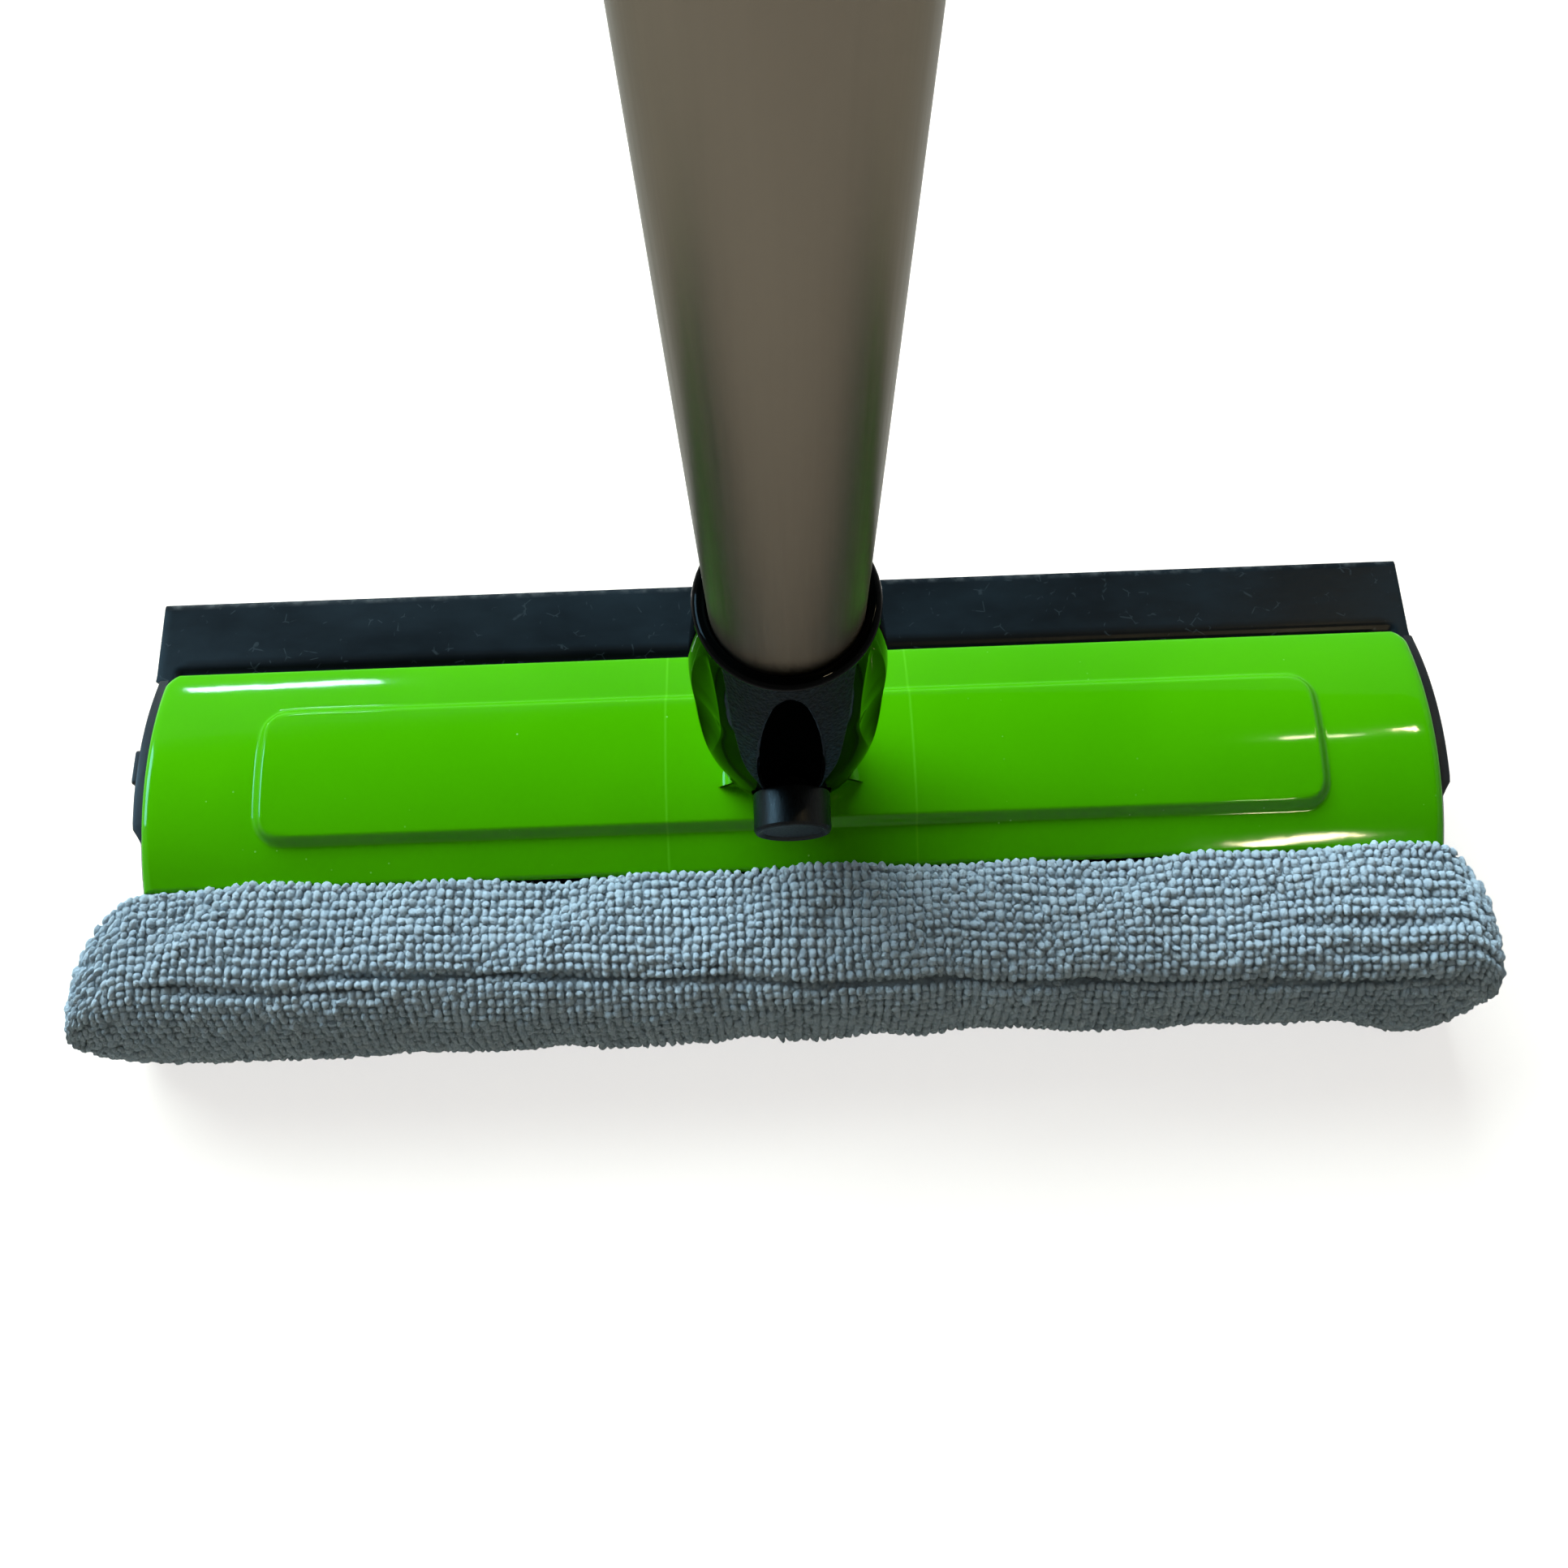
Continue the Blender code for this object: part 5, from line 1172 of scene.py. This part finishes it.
# Surface of the pad: u is the run along its length in metres from the middle, v the share of its girth.
# The section is drawn in at both ends. Slow waves, a sag at the right end and the cloth's drift change it
def padSurface(u, v):
    u, v = np.broadcast_arrays(np.asarray(u, float), np.asarray(v, float))
    beyond = np.abs(u) - pad["bodyHalf"]
    x = np.clip(u, -pad["bodyHalf"], pad["bodyHalf"])
    wide, tall = np.ones_like(x), np.ones_like(x)
    for side, (run, reach, wideTable, tallTable) in endRuns.items():
        at = (np.sign(u) == side) & (beyond > 0)
        x = np.where(at, side * (pad["bodyHalf"] + np.interp(beyond, run, reach)), x)
        wide = np.where(at, np.interp(beyond, run, wideTable), wide)
        tall = np.where(at, np.interp(beyond, run, tallTable), tall)
    turn, order = (v % 1.0) * (len(padSection) - 1), np.arange(len(padSection))
    across, down = (np.interp(turn, order, padSection[:, k]) for k in (0, 1))
    middle, level = pad["shrinkAt"] * pad["depth"], pad["shrinkLevel"] * pad["height"]
    across = middle + (across - middle) * wide
    down = level + (down - level) * tall
    swell = 0.00035 * np.sin(u * 61 + 1.3) * np.sin(v * 2 * pi * 2 + 0.7) + 0.00025 * np.sin(u * 173 + v * 19)
    across = across + (across - middle) / pad["depth"] * swell * 2
    down = down + (down / pad["height"] - 0.5) * swell * 2
    along, girth, spreadAlong, spreadGirth, forward, below = pad["sag"]
    sag = np.exp(-(((u - along) / spreadAlong) ** 2)) * np.exp(-((((v % 1.0) - girth) / spreadGirth) ** 2))
    points = gathered(x, -pad["back"] - across - forward * sag, pad["top"] - down - below * sag)
    if "drift" in settled:
        points = points + driftAt(u, v)
    points[..., 2] = np.maximum(points[..., 2], pad["floor"] + 0.0001)
    return points


def unit(direction):
    return direction / (np.linalg.norm(direction, axis=-1, keepdims=True) + 1e-12)


# Directions along the length and the girth from two small steps, and the outward normal across them
def padFrame(u, v, step=0.0004):
    alongU = unit(padSurface(u + step, v) - padSurface(u - step, v))
    alongV = unit(padSurface(u, v + step / padGirth) - padSurface(u, v - step / padGirth))
    return alongU, alongV, unit(np.cross(alongV, alongU))


def padGrid(rows, columns):
    return np.linspace(-padRuns[0], padRuns[1], rows)[:, None], (np.arange(columns) / columns)[None, :]


# Cloth that is a little too large for the pad, blown up from inside and held where the frame holds it.
# Its points may move no farther than the cap, and the drift is smoothed and fades towards both ends
def clothDrift(s):
    u, v = padGrid(s["rows"], s["columns"])
    dice = np.random.default_rng(5)
    inset = dice.normal(0, 0.00025, (s["rows"], s["columns"])) - s["inset"]
    rings = padSurface(u, v) + padFrame(u, v)[2] * inset[..., None]
    sheet = meshObject("padCloth", [closedSkin(rings)])
    held = sheet.vertex_groups.new(name="held")
    held.add(np.flatnonzero((rings[..., 1] > -pad["back"] - 0.0012).ravel()).tolist(), 1.0, "REPLACE")
    change = sheet.modifiers.new("cloth", "CLOTH")
    for key, value in s["settings"].items():
        setattr(change.settings, key, value)
    change.settings.effector_weights.gravity = 0.0
    change.point_cache.frame_start, change.point_cache.frame_end = 1, s["frames"]
    for k in range(1, s["frames"] + 1):
        bpy.context.scene.frame_set(k)
    result = sheet.evaluated_get(bpy.context.evaluated_depsgraph_get()).data
    moved = np.empty(len(result.vertices) * 3, np.float32)
    result.vertices.foreach_get("co", moved)
    drift = moved.reshape(-1, 3)[: rings[..., 0].size].reshape(rings.shape) - rings
    size = np.linalg.norm(drift, axis=-1, keepdims=True)
    print("cloth moved", float(size.mean()), float(size.max()))
    drift = drift * np.minimum(1, s["cap"] / (size + 1e-9))
    for _ in range(2):
        drift = (2 * drift + np.roll(drift, 1, 1) + np.roll(drift, -1, 1)) / 4
        drift[1:-1] = (2 * drift[1:-1] + drift[2:] + drift[:-2]) / 4
    ends = np.minimum(u - u[0], u[-1] - u)
    drift = drift * smoothStep((ends - 0.002) / 0.014)[..., None]
    bpy.context.scene.frame_set(1)
    removed(sheet)
    return drift, float(u[0, 0]), float(u[-1, 0])


settled["drift"] = clothDrift(cloth)
print("pad cloth settled")


# Places round the girth, pushed away from the creases, and how deep the cloth sinks there
def creased(u, v):
    shift, sink = 0 * v, 0 * v
    for at, slope, first, last, push, depth in pad["creases"]:
        fade = smoothStep((u - first) / 0.012) * smoothStep((last - u) / 0.012)
        wander = 0.0030 * np.sin(u * 37 + 0.5 + at * 60) + 0.0022 * np.sin(u * 131 + at * 90)
        away = v - at - slope * u - wander
        shift = shift + push * fade * np.tanh(away / 0.0025) * np.exp(-np.abs(away) / 0.012)
        sink = sink + depth * fade * np.exp(-((away / 0.007) ** 2))
    return v + shift, sink


# Backing cloth: the pad's surface moved in, closed at the ends
def backingSkin(inset, rows=150, columns=120):
    u, v = padGrid(rows, columns)
    sink = creased(u, v)[1][..., None]
    return fromCrest(closedSkin(padSurface(u, v) - padFrame(u, v)[2] * (inset + sink)))


# Where the knots sit: u, the crease-pushed v and the sink of each crossing of rows and columns,
# thinned out towards the ends
def knotPlaces(dice, between):
    pitch = knot["pitch"]
    columns = np.arange(-padRuns[0] + 0.0008, padRuns[1] - 0.0008, pitch) + between * pitch / 2
    rows = int(round(padGirth / pitch))
    u, r = (axis.ravel() for axis in np.meshgrid(columns, np.arange(rows), indexing="ij"))
    share = np.ones_like(u)
    for side, (run, _, wide, tall) in endRuns.items():
        beyond = np.abs(u) - pad["bodyHalf"]
        left = np.interp(beyond, run, (wide + tall) / 2)
        share = np.where((np.sign(u) == side) & (beyond > 0), left, share)
    kept = np.floor((r + 1) * share + 1e-6) > np.floor(r * share + 1e-6)
    u, r = u[kept], r[kept]
    u = u + dice.normal(0, 0.00011, len(u)) + 0.0003 * np.sin(r * 0.4 + u * 60)
    v = (r + 0.5 + between * 0.5) / rows + dice.normal(0, 0.0008, len(u))
    v = v + 0.0012 * np.sin(u * 190 + r * 0.7) + 0.0012 * np.sin(u * 87 + r * 0.3)
    return (u, *creased(u, v))


# Loops: a knot for each crossing of rows and columns, and smaller ones between them that close the gaps.
# A knot is a ball drawn into a bean, ribbed by a twist: radius * (1 + rib * cos(2 turn + 3.2 height))
def loopKnots(seed, between, size, ringCount, turnCount):
    dice = np.random.default_rng(seed)
    u, v, sink = knotPlaces(dice, between)
    count, per = len(u), ringCount * turnCount
    alongU, alongV, normal = padFrame(u, v)
    rise = dice.normal(0, 0.00012, count) - between * knot["between"]
    centre = padSurface(u, v) + normal * (rise - knot["sunk"] - 0.8 * sink)[:, None]
    low = centre[:, 2] < pad["floor"] + 0.0012
    tilt = np.linspace(0.10, 0.94, ringCount)[:, None] * pi
    turn = np.arange(turnCount) * 2 * pi / turnCount
    ball = gathered(np.sin(tilt) * np.cos(turn), np.sin(tilt) * np.sin(turn), np.cos(tilt))
    a, b, c = ball.reshape(-1, 3).T
    phase = dice.uniform(0, 2 * pi, count)[:, None]
    ribbed = 1 + knot["rib"] * np.cos(2 * np.arctan2(b, a) + 3.2 * c + phase)
    spreads = (("wide", 0.12), ("long", 0.14), ("tall", 0.15))
    wide, long, tall = (size * knot[key] * dice.normal(1, spread, count)[:, None] for key, spread in spreads)
    spin = dice.normal(0, 0.35, count)[:, None]
    lean = dice.normal(0, 0.22, (2, count))[..., None]
    h = c * tall
    p = (a * np.cos(spin) - b * np.sin(spin)) * wide * ribbed + lean[0] * h
    q = (a * np.sin(spin) + b * np.cos(spin)) * long * ribbed + lean[1] * h
    h = np.where(low[:, None], np.minimum(h, 0.0004), h)
    ways = ((alongU, p), (alongV, q), (normal, h))
    points = centre[:, None] + sum(way[:, None] * far[..., None] for way, far in ways)
    points[..., 2] = np.maximum(points[..., 2], pad["floor"])
    points = np.concatenate([points, points[:, :turnCount].mean(1, keepdims=True)], 1)
    j = np.arange(turnCount)
    fan = gathered(per, j, (j + 1) % turnCount)
    step = (np.arange(count) * (per + 1))[:, None, None]
    quads = gridFaces(ringCount, turnCount, False, True)
    faces = [(part[None] + step).reshape(-1, part.shape[1]) for part in (quads, fan)]
    shade = np.repeat(np.clip(dice.normal(0.5, 0.24, count), 0, 1), per + 1)
    # Depth mark for the painted shade: low at each knot's foot, lower for the knots between, and lower in the
    # creases
    depth = np.concatenate([np.repeat((c * 0.5 + 0.5)[None], count, 0), np.ones((count, 1))], 1)
    depth = (depth * (1 - 0.45 * between) * np.clip(1 - sink / 0.0022, 0.2, 1)[:, None]).ravel()
    return fromCrest((points.reshape(-1, 3), faces)), shade, depth


knots, knotShade, knotShadeDepth = loopKnots(7, 0, 1.0, 5, 8)
small, smallShade, smallShadeDepth = loopKnots(11, 1, 0.86, 4, 6)
backing = backingSkin(pad["backingInset"])
# The backing's low depth mark paints it in shade between the knots
marks = {
    "shade": np.concatenate([np.full(len(backing[0]), 0.5), knotShade, smallShade]),
    "depth": np.concatenate([np.full(len(backing[0]), 0.25), knotShadeDepth, smallShadeDepth]),
}
padPiece = meshObject("loopPad", [backing, knots, small], marks)
padPiece.data.shade_smooth()
dressed(padPiece, "loops", "head", ["pad_sleeve"])
print("pad made:", len(padPiece.data.polygons), "faces")
core = [backingSkin(pad["foamInset"], 90, 72)]
foamPiece = addPiece("foamCore", core, "foam", "head", ["pad_foam"], 60)

# Floor, lamps, camera
studio = {
    "worldLevel": 0.04,
    "worldColour": (1.0, 0.92, 0.84, 1),
    "floorGlow": 0.70,
    "floorColour": (0.60, 0.52, 0.44, 1),
    "floorRadius": 2.4,
    "wallBend": 0.6,
    "wallTop": 3.0,
    "coverEnd": (0.118, 0.005, 0.036),
}


# One for rays from the camera, from a mirror or through glass, which see the white surroundings
def seenRays(tree):
    path = addNode(tree, "LightPath").outputs
    mirrored = maths("MAXIMUM", path["Is Glossy Ray"], path["Is Transmission Ray"])
    return maths("MAXIMUM", path["Is Camera Ray"], mirrored)


def floorFinish():
    made = bpy.data.materials.new("paleFloor")
    made.use_nodes = True
    tree = made.node_tree
    tree.nodes.clear()
    matt = addNode(tree, "BsdfDiffuse", {"Color": studio["floorColour"]})
    level = times(seenRays(tree), studio["floorGlow"])
    glow = addNode(tree, "Emission", {"Color": (1, 1, 1, 1), "Strength": level})
    both = addNode(tree, "AddShader", {0: matt.outputs[0], 1: glow.outputs[0]})
    addNode(tree, "OutputMaterial", {"Surface": both.outputs[0]})
    return made


# Floor that curves up into a wall all round: a profile turned about Z
def stageFloor(s):
    bend = np.linspace(0, pi / 2, 16)[1:]
    radius, turned, top = s["floorRadius"], s["wallBend"], s["wallTop"]
    profile = [(0.001, 0.0), (1.0, 0.0), (radius, 0.0)]
    profile += list(zip(radius + turned * np.sin(bend), turned * (1 - np.cos(bend))))
    profile += [(radius + turned, 1.8), (radius + turned, top)]
    points = turnedRings(profile, 96).reshape(-1, 3)
    faces = gridFaces(len(profile), 96, False, True)[:, ::-1]
    mesh = bpy.data.meshes.new("stageFloor")
    mesh.from_pydata(points.tolist(), [], faces.tolist())
    mesh.shade_smooth()
    made = bpy.data.objects.new("stageFloor", mesh)
    bpy.context.scene.collection.objects.link(made)
    made.data.materials.append(floorFinish())


stageFloor(studio)

# turn from +Y towards +X and height angle in degrees, as seen from the spot that the lamp faces, distance,
# width and height, power, colour, that spot, and whether it lights surfaces or only shines in glossy ones
lamps = {
    "windowLight": (-30, 33.5, 2.0, (2.4, 1.1), 110.0, (0.72, 0.90, 1.0), (0, 0.005, 0.04), True),
    "windowGlint": (-22.5, 23, 2.4, (0.34, 0.10), 16.0, (0.74, 0.95, 1.0), (-0.108, 0.022, 0.033), False),
    "sideGlint": (-74, 30, 2.4, (1.1, 0.8), 110.0, (0.36, 0.72, 1.0), (-0.02, 0.0, 0.05), False),
    "ceilingFill": (-20, 78, 2.0, (2.0, 2.0), 3.0, (0.95, 0.97, 1.0), (0, 0.005, 0.04), True),
    "warmLampA": (54.5, 57, 3.0, (0.09, 0.06), 10.0, (1.0, 0.80, 0.45), studio["coverEnd"], False),
    "warmLampC": (53.0, 60.6, 3.0, (0.03, 0.04), 1.6, (1.0, 0.84, 0.55), studio["coverEnd"], False),
    "warmLampD": (52.5, 62.6, 3.0, (0.04, 0.06), 3.0, (1.0, 0.84, 0.55), studio["coverEnd"], False),
    "warmLampB": (140, 55.5, 3.0, (0.28, 0.10), 34.0, (1.0, 0.82, 0.50), (0.098, -0.012, 0.034), False),
}
for name, (turn, rise, distance, size, power, colour, target, soft) in lamps.items():
    lamp = bpy.data.lights.new(name, "AREA")
    lamp.shape = "RECTANGLE"
    lamp.size, lamp.size_y = size
    lamp.energy = power
    lamp.color = colour
    made = bpy.data.objects.new(name, lamp)
    turn, rise = radians(turn), radians(rise)
    away = Vector((np.sin(turn) * np.cos(rise), np.cos(turn) * np.cos(rise), np.sin(rise)))
    made.location = Vector(target) + away * distance
    made.rotation_euler = away.to_track_quat("Z", "Y").to_euler()
    made.visible_diffuse = soft
    made.visible_glossy = not soft
    bpy.context.scene.collection.objects.link(made)

world = bpy.data.worlds.new("studioWorld")
world.use_nodes = True
background = world.node_tree.nodes["Background"]
background.inputs["Color"].default_value = studio["worldColour"]
background.inputs["Strength"].default_value = studio["worldLevel"]
bpy.context.scene.world = world
bpy.context.scene.view_settings.view_transform = "Standard"

# The view looks down along the pole: pitch from straight down, roll of the picture, both in degrees
view = {"place": (-0.0013, -0.0664, 0.282), "pitch": 15.3, "roll": 2.1, "lens": 29.81, "sensor": 36}
pitch, roll = radians(view["pitch"]), radians(view["roll"])
levelRight = np.array([1.0, 0.0, 0.0])
levelDown = np.array([0.0, -np.cos(pitch), -np.sin(pitch)])
forward = np.array([0.0, np.sin(pitch), -np.cos(pitch)])
turned = np.eye(4)
turned[:3, 0] = levelRight * np.cos(roll) + levelDown * np.sin(roll)
turned[:3, 1] = levelRight * np.sin(roll) - levelDown * np.cos(roll)
turned[:3, 2], turned[:3, 3] = -forward, view["place"]
lensData = bpy.data.cameras.new("camera")
lensData.lens, lensData.sensor_width, lensData.clip_start = view["lens"], view["sensor"], 0.01
cameraPiece = bpy.data.objects.new("camera", lensData)
cameraPiece.matrix_world = Matrix(turned.tolist())
bpy.context.scene.collection.objects.link(cameraPiece)
bpy.context.scene.camera = cameraPiece
print("stage, lamps and camera made")
